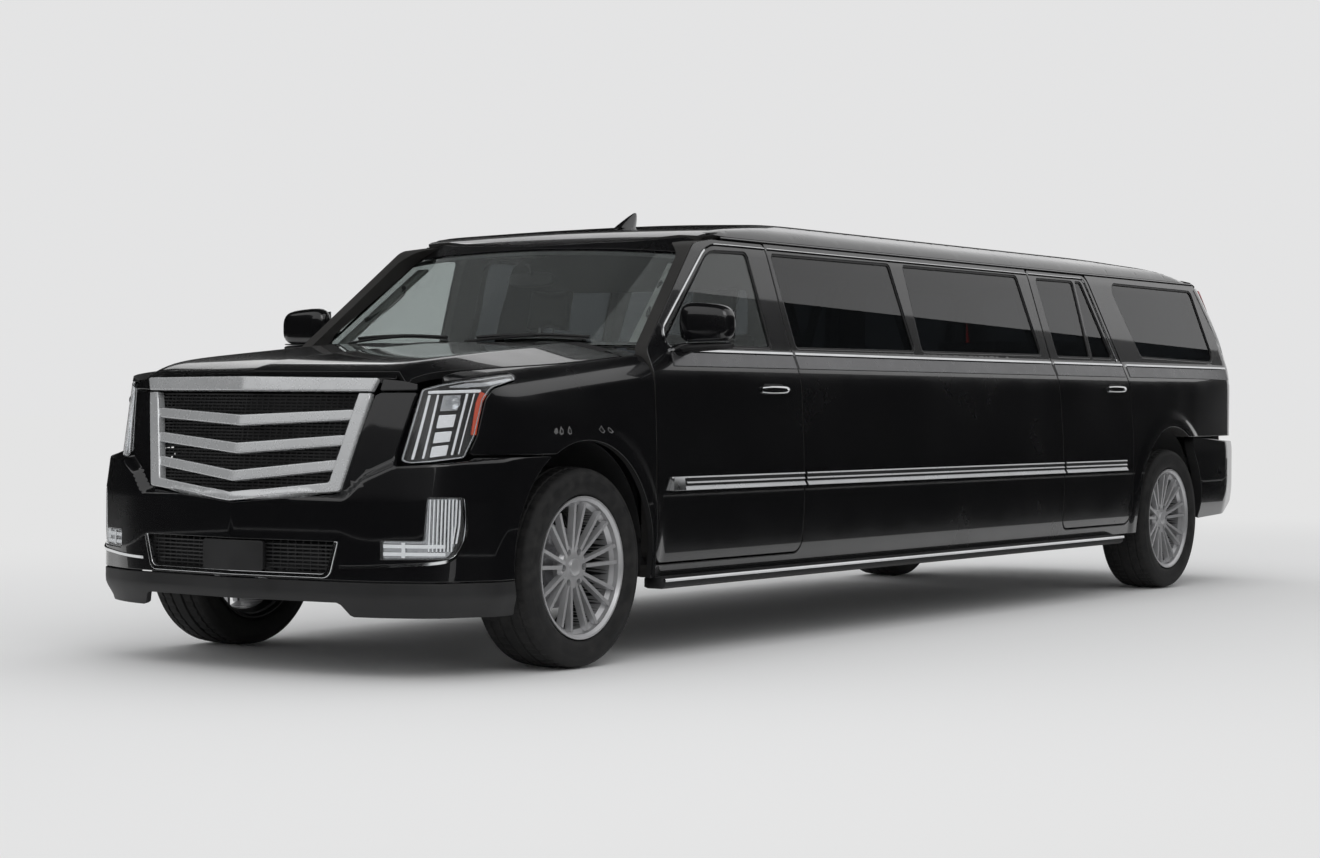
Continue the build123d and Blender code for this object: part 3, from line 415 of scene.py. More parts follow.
def panel(name, surface, outline, materials, holes=(), depth=25.0, spacing=(40.0, 30.0), roll=ROLL, lift=0.0,
          draft=None, mirror=True, inner=None, rows=()):
    """A solid panel on a surface: its face, rolled edges, walls and back. Returns its objects.

    surface maps (u, v) to millimetres and faces out. lift moves the face along its normal. The back lies
    depth behind the face, or where inner puts it, and draft moves it further. rows are more points for the
    mesh, along creases.
    """
    outline = tidy_outline(outline)
    if area_of(outline) < 0:
        outline = outline[::-1]
    outer = shifted(outline, roll)
    cuts = []
    for hole in holes:
        hole = tidy_outline(hole)
        hole = hole[::-1] if area_of(hole) > 0 else hole
        cuts.append(shifted(hole, -roll))
    uv, faces, counts = triangulate(outer, cuts, spacing, rows)
    normal = normals_of(surface, uv)
    face_points = surface(uv) + normal * lift
    back_points = inner(uv) if inner else face_points - normal * depth
    if draft is not None:
        back_points = back_points + draft(uv)
    count = len(uv)
    verts = [face_points, back_points]
    all_faces = [tuple(tri) for tri in faces] + [tuple(count + i for i in tri[::-1]) for tri in faces]
    loop_normals = [normal[faces].reshape(-1, 3), -normal[faces[:, ::-1]].reshape(-1, 3)]
    slots = [0] * len(faces) + [len(materials) - 1] * len(faces)
    total, start = 2 * count, 0
    for size in counts:
        ring = np.arange(start, start + size)
        start += size
        n = normal[ring]
        tangent = np.roll(face_points[ring], -1, axis=0) - np.roll(face_points[ring], 1, axis=0)
        out = np.cross(tangent, n)
        out /= np.linalg.norm(out, axis=1)[:, None]
        rows, row_normals = [ring], [n]
        for k in (1, 2, 3):
            turn = math.pi / 2 * k / 3
            rows.append(np.arange(total, total + size))
            verts.append(face_points[ring] + out * roll * math.sin(turn) - n * roll * (1 - math.cos(turn)))
            row_normals.append(n * math.cos(turn) + out * math.sin(turn))
            total += size
        rows += [np.arange(total, total + size), np.arange(total + size, total + 2 * size), count + ring]
        verts += [verts[-1], back_points[ring] + out * roll]
        total += 2 * size
        bands = [(rows[k], rows[k + 1], row_normals[k], row_normals[k + 1], 0) for k in range(3)]
        bands += [(rows[4], rows[5], out, out, len(materials) - 1),
                  (rows[5], rows[6], -n, -n, len(materials) - 1)]
        for low, high, n_low, n_high, slot in bands:
            quads = np.stack([low, high, np.roll(high, -1), np.roll(low, -1)], axis=1)
            all_faces += [tuple(quad) for quad in quads]
            loop_normals.append(np.stack([n_low, n_high, np.roll(n_high, -1, axis=0),
                                          np.roll(n_low, -1, axis=0)],
                                         axis=1).reshape(-1, 3))
            slots += [slot] * size
    return both_sides(name, np.concatenate(verts), all_faces, np.concatenate(loop_normals), materials, slots,
                      mirror=mirror)


def strip(name, surface, path, profile, material, mirror=True, closed=False):
    """A trim strip along a path of (u, v) on a surface. profile is (across, height) corners, low to high."""
    path = np.asarray(path, float)
    points, n = surface(path), normals_of(surface, path)
    if closed:
        along = np.roll(points, -1, axis=0) - np.roll(points, 1, axis=0)
    else:
        along = np.gradient(points, axis=0)
    across = np.cross(n, along)
    across /= np.linalg.norm(across, axis=1)[:, None]
    rows = [points + across * a + n * h for a, h in profile]
    return grid(name, np.stack(rows, axis=1), material, mirror, closed, True)


def grid(name, rows, material, mirror=True, closed_long=False, closed_round=True, caps=True,
         smooth_angle=38):
    """A solid from rings of points, rows[i, j]: i runs along it and j round it. Its ends are capped."""
    count, around = rows.shape[:2]
    faces = []
    for i in range(count if closed_long else count - 1):
        for j in range(around if closed_round else around - 1):
            a, b = i * around + j, i * around + (j + 1) % around
            c, d = ((i + 1) % count) * around + (j + 1) % around, ((i + 1) % count) * around + j
            faces.append((a, b, c, d))
    if caps and not closed_long:
        faces.append(tuple(range(around))[::-1])
        faces.append(tuple((count - 1) * around + j for j in range(around)))
    made = both_sides(name, rows.reshape(-1, 3), faces, None, [material], mirror=mirror)
    for obj in made:
        fix_facing(obj)
        sharpen(obj, smooth_angle)
    return made


def fix_facing(obj):
    """Turns a closed mesh's faces outwards."""
    mesh = bmesh.new()
    mesh.from_mesh(obj.data)
    bmesh.ops.recalc_face_normals(mesh, faces=mesh.faces)
    mesh.to_mesh(obj.data)
    mesh.free()


def sharpen(obj, angle):
    """Edges sharper than angle, in degrees, stay crisp in smooth shading."""
    obj.data.set_sharp_from_angle(angle=math.radians(angle))


def loop_of(corners, spacing=30.0, arc=7):
    """A dense closed outline from (a, b, radius) corners."""
    return rounded(corners, True, spacing, arc)


# ---------------------------------------------------------------- materials
def shader(name, colour, roughness, metallic=0.0, **sockets):
    """A new material with one Principled shader. Returns the material, its tree and the shader."""
    material = bpy.data.materials.new(name)
    material.use_nodes = True
    node = material.node_tree.nodes["Principled BSDF"]
    node.inputs["Base Color"].default_value = (*colour, 1)
    node.inputs["Roughness"].default_value = roughness
    node.inputs["Metallic"].default_value = metallic
    for socket, value in sockets.items():
        node.inputs[socket.replace("_", " ")].default_value = value
    return material, material.node_tree, node


def add(tree, kind, links=(), **values):
    """A new node, its settings and input values by name, and its linked inputs."""
    node = tree.nodes.new(kind)
    for key, value in values.items():
        if hasattr(node, key):
            setattr(node, key, value)
        else:
            node.inputs[key.replace("_", " ")].default_value = value
    for socket, source in links:
        tree.links.new(source, node.inputs[socket])
    return node


def object_place(tree):
    """The shading point in the object's own metres."""
    return add(tree, "ShaderNodeTexCoord").outputs["Object"]


def noise(tree, scale, detail=3.0, rough=0.55, place=None):
    """A noise value at so many waves a metre."""
    return add(tree, "ShaderNodeTexNoise", [("Vector", place or object_place(tree))],
               Scale=scale, Detail=detail, Roughness=rough).outputs["Fac"]


def ranged(tree, source, low, high, start=0.3, end=0.7):
    """source's start to end, mapped to low to high."""
    return add(tree, "ShaderNodeMapRange", [("Value", source)], From_Min=start, From_Max=end,
               To_Min=low, To_Max=high).outputs["Result"]


def bump(tree, node, height, strength, distance=0.001, socket="Normal"):
    """Bump from a height, on the shader's normal."""
    made = add(tree, "ShaderNodeBump", [("Height", height)], Strength=strength, Distance=distance)
    tree.links.new(made.outputs["Normal"], node.inputs[socket])


def blended(tree, factor, low, high):
    """A colour between two, by factor."""
    mix = add(tree, "ShaderNodeMix", data_type="RGBA")
    mix.inputs["A"].default_value = mix.inputs[6].default_value = (*low, 1)
    mix.inputs[7].default_value = (*high, 1)
    tree.links.new(factor, mix.inputs[0])
    return mix.outputs[2]


def paint_material():
    """Deep black paint under clear coat: faint metal flake, orange peel in the coat and a breath of dust."""
    material, tree, node = shader("body_paint", (0.004, 0.004, 0.0045), 0.22, Coat_Weight=1.0,
                                  Coat_Roughness=0.02,
                                  Coat_IOR=1.5, Specular_IOR_Level=0.3)
    dust = noise(tree, 2.2, 5, 0.6)
    flake = add(tree, "ShaderNodeTexVoronoi", [("Vector", object_place(tree))],
                Scale=2600.0).outputs["Color"]
    grey = add(tree, "ShaderNodeSeparateColor", [("Color", flake)]).outputs[0]
    tree.links.new(blended(tree, ranged(tree, grey, 0, 1, 0.8, 1.0), (0.0035, 0.0035, 0.004),
                           (0.012, 0.012, 0.014)), node.inputs["Base Color"])
    tree.links.new(ranged(tree, dust, 0.16, 0.3), node.inputs["Roughness"])
    bump(tree, node, noise(tree, 130, 2), 0.012, 0.0004, "Coat Normal")
    return material


def metal_material(name, colour, roughness, spread=0.04, scale=60.0, grain=0.02, metallic=1.0):
    """Polished, satin, painted or cast metal: its roughness and tone vary a little."""
    material, tree, node = shader(name, colour, roughness, metallic)
    wear = noise(tree, scale, 4)
    tree.links.new(ranged(tree, wear, max(roughness - spread, 0.02), roughness + spread),
                   node.inputs["Roughness"])
    tone = noise(tree, scale / 12, 3)
    dark = tuple(0.86 * c for c in colour)
    tree.links.new(blended(tree, ranged(tree, tone, 0, 1), dark, colour), node.inputs["Base Color"])
    bump(tree, node, noise(tree, scale * 14, 2), grain, 0.0003)
    return material


def plastic_material(name, colour, roughness, grain=0.25, scale=900.0):
    """Moulded plastic with a fine leather-like grain and slight fading."""
    material, tree, node = shader(name, colour, roughness, Specular_IOR_Level=0.45)
    cells = add(tree, "ShaderNodeTexVoronoi", [("Vector", object_place(tree))], Scale=scale,
                feature="SMOOTH_F1").outputs["Distance"]
    fade = noise(tree, 3.5, 4)
    light = tuple(min(1.6 * c + 0.006, 1) for c in colour)
    tree.links.new(blended(tree, ranged(tree, fade, 0, 0.7), colour, light), node.inputs["Base Color"])
    tree.links.new(ranged(tree, fade, roughness - 0.06, roughness + 0.08), node.inputs["Roughness"])
    bump(tree, node, cells, grain, 0.0004)
    return material


def glass_material(name, tint, roughness=0.0):
    """Tinted safety glass. A little haze lies near its edges' scale."""
    material, tree, node = shader(name, tint, roughness, Transmission_Weight=1.0, IOR=1.48)
    smear = noise(tree, 6, 4)
    tree.links.new(ranged(tree, smear, 0.0, 0.012, 0.45, 0.8), node.inputs["Roughness"])
    return material


def leather_material(name, colour):
    """Fine-grained leather with creases and a soft sheen."""
    material, tree, node = shader(name, colour, 0.42, Specular_IOR_Level=0.5, Sheen_Weight=0.08)
    grain = add(tree, "ShaderNodeTexVoronoi", [("Vector", object_place(tree))], Scale=620.0,
                feature="DISTANCE_TO_EDGE").outputs["Distance"]
    folds = noise(tree, 28, 6, 0.62)
    tree.links.new(blended(tree, ranged(tree, folds, 0, 1), colour, tuple(1.7 * c for c in colour)),
                   node.inputs["Base Color"])
    tree.links.new(ranged(tree, folds, 0.34, 0.52), node.inputs["Roughness"])
    height = add(tree, "ShaderNodeMath", [(0, ranged(tree, grain, 0, 1, 0.0, 0.12)), (1, folds)],
                 operation="ADD")
    bump(tree, node, height.outputs[0], 0.35, 0.0006)
    return material


def rubber_material():
    """Tyre rubber: matt, paler where dust lies, with a fine moulded texture."""
    material, tree, node = shader("tyre", (0.012, 0.012, 0.0125), 0.72, Specular_IOR_Level=0.35)
    dust = noise(tree, 22, 6, 0.65)
    tree.links.new(blended(tree, ranged(tree, dust, 0, 1, 0.4, 0.8), (0.010, 0.010, 0.0105),
                           (0.030, 0.029, 0.028)),
                   node.inputs["Base Color"])
    tree.links.new(ranged(tree, dust, 0.6, 0.85), node.inputs["Roughness"])
    bump(tree, node, noise(tree, 1400, 2), 0.3, 0.0003)
    return material


def lens_material(name, colour, roughness=0.03):
    """Moulded lamp lens."""
    material, tree, node = shader(name, colour, roughness, Transmission_Weight=1.0, IOR=1.46)
    tree.links.new(ranged(tree, noise(tree, 40, 3), roughness, roughness + 0.03), node.inputs["Roughness"])
    return material


mats = {
    "body_paint": paint_material(),
    "black_trim": plastic_material("black_trim", (0.012, 0.012, 0.0125), 0.5),
    "chrome": metal_material("chrome", (0.86, 0.87, 0.88), 0.09, 0.03, 60.0, 0.0),
    "clear_glass": glass_material("clear_glass", (0.62, 0.66, 0.65)),
    "privacy_glass": glass_material("privacy_glass", (0.05, 0.055, 0.06)),
    "lamp": lens_material("lamp", (0.95, 0.96, 0.97)),
    "tail_lamp": lens_material("tail_lamp", (0.55, 0.02, 0.015), 0.06),
    "belt": metal_material("belt", (0.17, 0.17, 0.175), 0.3, 0.04, 20.0, 0.0, 0.7),
    "lamp_pale": metal_material("lamp_pale", (0.74, 0.74, 0.74), 0.16, 0.04, 60.0, 0.0, 0.3),
    "amber": plastic_material("amber", (0.62, 0.06, 0.012), 0.2, 0.1, 300.0),
    "satin": metal_material("satin", (0.6, 0.61, 0.62), 0.3, 0.04, 30.0, 0.0),
    "silver": metal_material("silver", (0.72, 0.73, 0.74), 0.26, 0.05, 30.0, 0.0, 0.5),
    "mirror": metal_material("mirror", (0.85, 0.86, 0.87), 0.03, 0.01, 8.0, 0.0),
    "lamp_bezel": metal_material("lamp_bezel", (0.42, 0.43, 0.44), 0.22, 0.05),
    "lamp_glass_ball": lens_material("lamp_glass_ball", (0.95, 0.96, 0.97), 0.0),
    "underbody": plastic_material("underbody", (0.016, 0.016, 0.017), 0.6, 0.35, 260.0),
    "cast_metal": metal_material("cast_metal", (0.16, 0.16, 0.165), 0.55, 0.1, 90.0, 0.4),
    "engine": metal_material("engine", (0.22, 0.22, 0.23), 0.5, 0.1, 80.0, 0.35),
    "steel": metal_material("steel", (0.42, 0.42, 0.43), 0.35, 0.1, 50.0, 0.1),
    "alloy": metal_material("alloy", (0.6, 0.6, 0.61), 0.34, 0.06, 40.0, 0.0, 0.6),
    # painted shade: a dark tone for the rims' deeper faces, standing for the shade behind the spokes
    "rim_well": metal_material("rim_well", (0.1, 0.1, 0.102), 0.5, 0.08, 40.0, 0.1),
    "tyre": rubber_material(),
    "leather": leather_material("leather", (0.018, 0.017, 0.016)),
    "piping": leather_material("piping", (0.04, 0.039, 0.037)),
    "pale_trim": plastic_material("pale_trim", (0.32, 0.32, 0.31), 0.7, 0.2),
    "screen": plastic_material("screen", (0.004, 0.004, 0.005), 0.08, 0.0),
    "cabin_trim": plastic_material("cabin_trim", (0.022, 0.021, 0.02), 0.62, 0.4, 700.0),
    "cabinet": plastic_material("cabinet", (0.014, 0.011, 0.01), 0.18, 0.03, 200.0),
}


# ---------------------------------------------------------------- the camera and the studio
CAMERA = (7.2738, -12.1111, 1.0934)
YAW, PITCH, TILT = 0.5817, -0.0114, 0.0068
BACKDROP = 0.775           # the pale grey behind the car, linear
FLOOR_TONE = 0.86


def place_camera():
    """The photograph's viewpoint, 12 m from the nose on the car's left."""
    ahead = Vector((-math.sin(YAW) * math.cos(PITCH), math.cos(YAW) * math.cos(PITCH), math.sin(PITCH)))
    right = ahead.cross(Vector((0, 0, 1))).normalized()
    up = right.cross(ahead)
    right, up = (math.cos(TILT) * right + math.sin(TILT) * up), (math.cos(TILT) * up - math.sin(TILT)
                                                                 * right)
    camera = bpy.data.objects.new("camera", bpy.data.cameras.new("camera"))
    camera.data.lens, camera.data.sensor_width, camera.data.sensor_fit = 74.256, 36, "HORIZONTAL"
    camera.data.clip_end = 300
    turn = Matrix((right, up, -ahead)).transposed()
    camera.matrix_world = Matrix.Translation(CAMERA) @ turn.to_4x4()
    bpy.context.scene.collection.objects.link(camera)
    bpy.context.scene.camera = camera


def studio_world():
    """Pale all round for the eye and in reflections, and a plain soft fill."""
    world = bpy.data.worlds.new("studio")
    world.use_nodes = True
    bpy.context.scene.world = world
    tree = world.node_tree
    fill = tree.nodes["Background"]
    fill.inputs["Color"].default_value = (0.99, 0.995, 1.0, 1)
    fill.inputs["Strength"].default_value = 0.72
    seen = add(tree, "ShaderNodeBackground")
    seen.inputs["Color"].default_value = (BACKDROP, BACKDROP, BACKDROP * 1.005, 1)
    path = add(tree, "ShaderNodeLightPath")
    either = add(tree, "ShaderNodeMath",
                 [(0, path.outputs["Is Camera Ray"]), (1, path.outputs["Is Glossy Ray"])],
                 operation="MAXIMUM")
    all_three = add(tree, "ShaderNodeMath",
                    [(0, either.outputs[0]), (1, path.outputs["Is Transmission Ray"])],
                    operation="MAXIMUM")
    mix = add(tree, "ShaderNodeMixShader",
              [(0, all_three.outputs[0]), (1, fill.outputs[0]), (2, seen.outputs[0])])
    tree.links.new(mix.outputs[0], tree.nodes["World Output"].inputs["Surface"])


def flat_card(name, corners, material, unseen):
    """A flat stage card in metres. An unseen one only shows in reflections."""
    mesh = bpy.data.meshes.new(name)
    mesh.from_pydata(corners, [], [tuple(range(len(corners)))])
    mesh.materials.append(material)
    card = bpy.data.objects.new(name, mesh)
    bpy.context.scene.collection.objects.link(card)
    if unseen:
        card.visible_camera = card.visible_diffuse = card.visible_shadow = card.visible_transmission = False


def studio():
    """Floor, dark flags that the paint reflects, and three soft lamps."""
    floor_mat, tree, node = shader("floor", (FLOOR_TONE, FLOOR_TONE, FLOOR_TONE), 0.9,
                                   Specular_IOR_Level=0.0)
    tree.links.new(ranged(tree, noise(tree, 0.6, 3), 0.86, 0.94), node.inputs["Roughness"])
    place = add(tree, "ShaderNodeVectorMath", [(0, object_place(tree))], operation="MULTIPLY")
    place.inputs[1].default_value = (1.0, 0.55, 1.0)
    away = add(tree, "ShaderNodeVectorMath", [(0, place.outputs[0])], operation="LENGTH").outputs["Value"]
    fade = add(tree, "ShaderNodeMapRange", [("Value", away)], interpolation_type="SMOOTHSTEP", From_Min=2.6,
               From_Max=7.5)
    backdrop = add(tree, "ShaderNodeEmission", Color=(BACKDROP, BACKDROP, BACKDROP, 1))
    mix = add(tree, "ShaderNodeMixShader",
              [(0, fade.outputs["Result"]), (1, node.outputs[0]), (2, backdrop.outputs[0])])
    tree.links.new(mix.outputs[0], tree.nodes["Material Output"].inputs["Surface"])
    flat_card("floor", [(-90, -90, 0), (90, -90, 0), (90, 90, 0), (-90, 90, 0)], floor_mat, False)
    flag_mat, _, _ = shader("flag", (0.006, 0.006, 0.006), 1.0, Specular_IOR_Level=0.0)
    for name, corners in (
            ("flag_left",
             [(9, -14, 0.02), (9, 40, 0.02), (9, 40, 6.8), (9, 11, 7.7), (9, 0, 5.5), (9, -14, 4.0)]),
            ("flag_right", [(-9, -14, 0.02), (-9, 40, 0.02), (-9, 40, 6.6), (-9, -14, 6.6)]),
            ("flag_front", [(-9, -14, 0.02), (9, -14, 0.02), (9, -14, 4.2), (-9, -14, 4.2)]),
            ("flag_over", [(-8, -5, 6.0), (2.5, -5, 6.0), (2.5, 4, 6.0), (-8, 4, 6.0)]),
            ("flag_floor_left", [(2.0, -4.5, 0.012), (9, -4.5, 0.012), (9, 40, 0.012), (2.0, 40, 0.012)]),
            ("flag_floor_front", [(-9, -14, 0.012), (9, -14, 0.012), (9, -5.4, 0.012), (-9, -5.4, 0.012)])):
        flat_card(name, corners, flag_mat, True)
    for name, place, size, power, aim in (
            ("key", (5.5, -8.0, 6.5), (5, 4), 120, (0, -1.0, 0.8)),
            ("overhead", (0.0, 1.0, 7.5), (3.2, 9), 80, (0, 1.0, 0)),
            ("rim", (-8.0, 4.0, 6.0), (3, 8), 60, (0, 1.5, 0.8))):
        lamp = bpy.data.objects.new(name, bpy.data.lights.new(name, "AREA"))
        lamp.data.shape = "RECTANGLE"
        lamp.data.size, lamp.data.size_y = size
        lamp.data.energy = power
        lamp.location = place
        lamp.rotation_euler = (Vector(aim) - Vector(place)).to_track_quat("-Z", "Y").to_euler()
        bpy.context.scene.collection.objects.link(lamp)


# ---------------------------------------------------------------- sides, doors and their glass
def arc_points(centre, radius, start, end, count=40):
    """(y, z, 0) points of an arc between two angles in degrees."""
    angles = np.radians(np.linspace(start, end, count))
    return [(centre[0] + radius * math.cos(a), centre[1] + radius * math.sin(a), 0) for a in angles]


def door_draft(uv):
    """The doors' rear edges slant inwards and forwards, so that they clear their frames."""
    y = uv[:, 0]
    depth = side_x(y, uv[:, 1]) - cavity_at(uv)[:, 0]
    front = smooth_step(1400, 1660, y) * (1 - smooth_step(1780, 1980, y)) * 0.25
    rear = smooth_step(5000, 5180, y) * (1 - smooth_step(5440, 5520, y)) * 0.42
    return np.stack([np.zeros(len(y)), -(front + rear) * depth, np.zeros(len(y))], axis=1)


def side_pane(name, outline, material):
    """A side window's pane, set back in its opening."""
    return panel(name, side_at, shifted(loop_of(outline, 40), -1), [material], depth=5, lift=-8, roll=1.0,
                 spacing=(90, 60))


def window_seal(name, outline):
    """The black rubber round a pane."""
    edge = loop_of(outline, 40)
    return panel(name, side_at, shifted(edge, -1.5), [mats["black_trim"]], [shifted(edge, 9)], depth=7,
                 lift=-3.0,
                 roll=1.5, spacing=(60, 60))


def doors():
    """The four doors with their windows."""
    shades = [mats["body_paint"], mats["cabin_trim"]]
    front = panel("front_door_skin_left", side_at, loop_of(FRONT_DOOR), shades, [loop_of(FRONT_WINDOW)],
                  inner=cavity_at, draft=door_draft)
    attach(front, "front_door_left", ["front_door_left"])
    rear = panel("rear_door_skin_left", side_at, loop_of(REAR_DOOR), shades,
                 [loop_of(REAR_WINDOW), loop_of(VENT_WINDOW)], inner=cavity_at, draft=door_draft)
    attach(rear, "rear_door_left", ["rear_door_left"])
    attach(side_pane("front_pane_left", FRONT_WINDOW, mats["clear_glass"]), "front_door_left",
           ["front_door_glass_left"])
    attach(window_seal("front_seal_left", FRONT_WINDOW), "front_door_left")
    for name, window in (("rear_pane_left", REAR_WINDOW), ("vent_pane_left", VENT_WINDOW)):
        attach(side_pane(name, window, mats["privacy_glass"]), "rear_door_left",
               ["rear_door_glass_left"])
        attach(window_seal(name.replace("pane", "seal"), window), "rear_door_left")


SIDE_OUTLINE = (
    [(500, 340, 0)] + arc_points((WHEELBASE, REAR_ARCH_Z), REAR_ARCH_R, 194.3, 61.2)
    + [(7010, 885, 20), (7079, 930, 0), (7079, 1300, 60), (6836, 1766, 30), (6790, 1811, 0), (5204, 1811, 0),
       (5393, 1305, 68), (5433, 900, 0), (5433, 392, 88), (4520, 392, 68), (4454, 1305, 0), (4431, 1811, 0),
       (1698, 1811, 0), (1713, 1305, 0), (1736, 392, 68), (500, 392, 0)]
)


def side_walls():
    """The fixed wall: sill, middle panel and rear quarter, with its panes."""
    wall = panel("side_wall_left", side_at, loop_of(SIDE_OUTLINE), [mats["body_paint"], mats["cabin_trim"]],
                 [loop_of(window) for window in SIDE_WINDOWS], inner=cavity_at, draft=door_draft,
                 rows=flare_rows((WHEELBASE, REAR_ARCH_Z), REAR_ARCH_R, 40, 190))
    attach(wall, "body", ["body_side_left"])
    for index, window in enumerate(SIDE_WINDOWS):
        attach(side_pane(f"lounge_pane_{index + 1}_left", window, mats["privacy_glass"]), "body",
               ["side_glass"])
        attach(window_seal(f"lounge_seal_{index + 1}_left", window), "body")


# ---------------------------------------------------------------- windshield, pillars and roof
screen_plan = smoothed([(0, 400, 0), (560, 450, 900), (1000, 640, 0)], 20)


def screen_y(x, z):
    """Station of the windshield's outer face."""
    return np.interp(np.abs(x), screen_plan[:, 0], screen_plan[:, 1]) + (z - 1300) * 745 / 530


def screen_at(uv):
    """Windshield surface: (x, z) to a point."""
    return np.stack([uv[:, 0], screen_y(uv[:, 0], uv[:, 1]), uv[:, 1]], axis=1)


def cavity_half(z):
    cavity = smoothed(CAVITY)
    return by_height(cavity[: int(np.argmax(cavity[:, 0] < 640))], z)


def mirrored_outline(half):
    """A closed outline from its right half's points, from the foot up to the top."""
    half = np.asarray(half, float)
    return tidy_outline(np.concatenate([half, (half * (-1, 1))[::-1]]))


GLASS_REACH = 36.0         # how far the windshield laps over its pillars


def glass_top(x):
    """Height of the windshield's top edge at a half width."""
    return 1734 + 26 * (1 - (x / 700) ** 2)


def windshield():
    """The laminated pane, its black printed border and the painted header over its top."""
    heights = np.linspace(1318, 1722, 18)
    half = [(x, 1318) for x in np.linspace(0, cavity_half(1318) - 30, 20)[:-1]]
    half += [(cavity_half(z) + GLASS_REACH, z) for z in heights]
    half += [(x, glass_top(x)) for x in np.linspace(770, 0, 20)]
    edge = loop_of([(x, z, 0) for x, z in mirrored_outline(half)], 45)
    pane = panel("windshield_pane", screen_at, edge, [mats["clear_glass"]], depth=6, lift=-3, roll=1.5,
                 spacing=(60, 60), mirror=False)
    attach(pane, "body", ["windshield"])
    border = panel("windshield_border", screen_at, shifted(edge, -1), [mats["black_trim"]],
                   [shifted(edge, 18)],
                   depth=5, lift=-10, roll=1, spacing=(60, 60), mirror=False)
    attach(border, "body")
    across = np.linspace(0, 762, 20)
    half = [(x, glass_top(x) + 8) for x in across]
    half += [(x, float(roof_at(np.array([[x, screen_y(x, 1815.0)]]))[0, 2]) - 7) for x in across[::-1]]
    header = panel("roof_header", screen_at, mirrored_outline(half), [mats["body_paint"]], depth=20, lift=-1,
                   spacing=(60, 24), mirror=False)
    attach(header, "body")


def pillars():
    """The windshield pillars: each wraps from the door's edge round to the glass."""
    door_edge = shifted(loop_of(FRONT_DOOR, 12, 14), -GAP)
    front = door_edge[(door_edge[:, 1] > 1282) & (door_edge[:, 0] < 1262)]
    front = front[np.argsort(front[:, 1])]
    rings = []
    for z in np.linspace(1284, 1808, 44):
        y_door = float(np.interp(z, front[:, 1], front[:, 0]))
        outer, inner = float(section_x(np.array(2000.0), np.array(z))), float(cavity_half(z))
        corner = screen_y(outer, z)
        y_door = max(y_door, corner + 2)
        radius = min(24.0, (y_door - corner) * 0.9, (outer - inner) * 0.6)
        ring = [(outer, y_door)]
        for k in range(7):
            turn = math.pi / 2 * k / 6
            ring.append((outer - radius * (1 - math.cos(turn)), screen_y(outer - radius, z) * math.sin(turn)
                         + (corner + radius) * (1 - math.sin(turn))))
        reach = min(inner + GLASS_REACH + 5, outer - radius - 4)
        ring += [(reach, screen_y(reach, z)), (reach - 2, screen_y(reach, z) + 22), (inner, y_door - 6)]
        ring[-1] = (inner, max(y_door - 6, screen_y(inner, z) + 30))
        rings.append([(x, y, z) for x, y in ring])
    attach(grid("pillar_left", np.array(rings), mats["body_paint"], smooth_angle=50), "body")


AERIAL_Y = 1800.0


def roof():
    """The long roof skin, its drip rails and the aerial's fin."""
    half_width = float(by_height(body_curve[body_curve[:, 1] > 1700][:-1], 1813.0))
    half = [(x, screen_y(x, float(roof_at(np.array([[x, screen_y(x, 1815.0)]]))[0, 2])) + 10)
            for x in np.linspace(0, 650, 14)]
    half += [(half_width - 40, 1215), (half_width - 4, 1290), (half_width, 1400)]
    half += [(half_width, y) for y in np.linspace(1800, 6600, 24)]
    half += [(half_width - 6, 6696), (0, 6696)]
    shoulder = [(side * (half_width - inset), y) for side in (-1, 1) for inset in (7, 14, 22, 32, 46, 66, 95,
                                                                                   135, 185)
                for y in np.arange(1250, 6690, 60.0)]
    skin = panel("roof_skin", roof_at, mirrored_outline(half), [mats["body_paint"], mats["cabin_trim"]],
                 depth=30,
                 spacing=(60, 90), mirror=False, rows=np.array(shoulder))
    attach(skin, "body", ["roof_panel"])
    path = [(y, 1809.0) for y in np.linspace(1330, 6780, 90)]
    rail = strip("drip_rail_left", side_at, path, [(-7, -8), (-8, 2), (-3, 7), (4, 6), (7, 0), (6, -8)],
                 mats["body_paint"])
    attach(rail, "body")
    rings = []
    for share in np.linspace(0, 1, 12):
        length, wide = 150 * (1 - share) ** 0.8 + 18, 40 * (1 - share) + 6
        base = roof_at(np.array([[0.0, AERIAL_Y]]))[0]
        rings.append([(wide / 2 * math.cos(a), base[1] - 40 + 85 * share + length / 2 * math.sin(a),
                       base[2] - 6 + 78 * share) for a in np.linspace(0, 2 * math.pi, 20, endpoint=False)])
    fin = grid("aerial_fin", np.array(rings), mats["body_paint"], mirror=False)
    attach(fin, "body")


# ---------------------------------------------------------------- fenders, hood and cowl
FENDER_CENTRE = (600.0, 700.0)
FENDER_SCALE = 400.0       # turns an angle round the fender's middle into about a millimetre


def polar(curve):
    """A cross-section as radii by angle round the fender's middle."""
    dx, dz = curve[:, 0] - FENDER_CENTRE[0], curve[:, 1] - FENDER_CENTRE[1]
    keep = curve[:, 0] > FENDER_CENTRE[0] - 40
    angles = np.arctan2(dz[keep], dx[keep])
    order = np.argsort(angles)
    return angles[order], np.hypot(dx, dz)[keep][order]


front_polar, cowl_polar = polar(front_curve), polar(cowl_curve)


def fender_at(uv):
    """Fender surface: (y, angle round its middle) to a point."""
    y, angle = uv[:, 0], uv[:, 1] / FENDER_SCALE
    share = np.clip((y + 1000) / 1500, 0, 1)
    radius = np.interp(angle, *front_polar) * (1 - share) + np.interp(angle, *cowl_polar) * share
    x, z = FENDER_CENTRE[0] + radius * np.cos(angle), FENDER_CENTRE[1] + radius * np.sin(angle)
    return np.stack([soft_min(x, nose_half(y, z), 34) + flare(y, z) * (z < 960), y, z], axis=1)


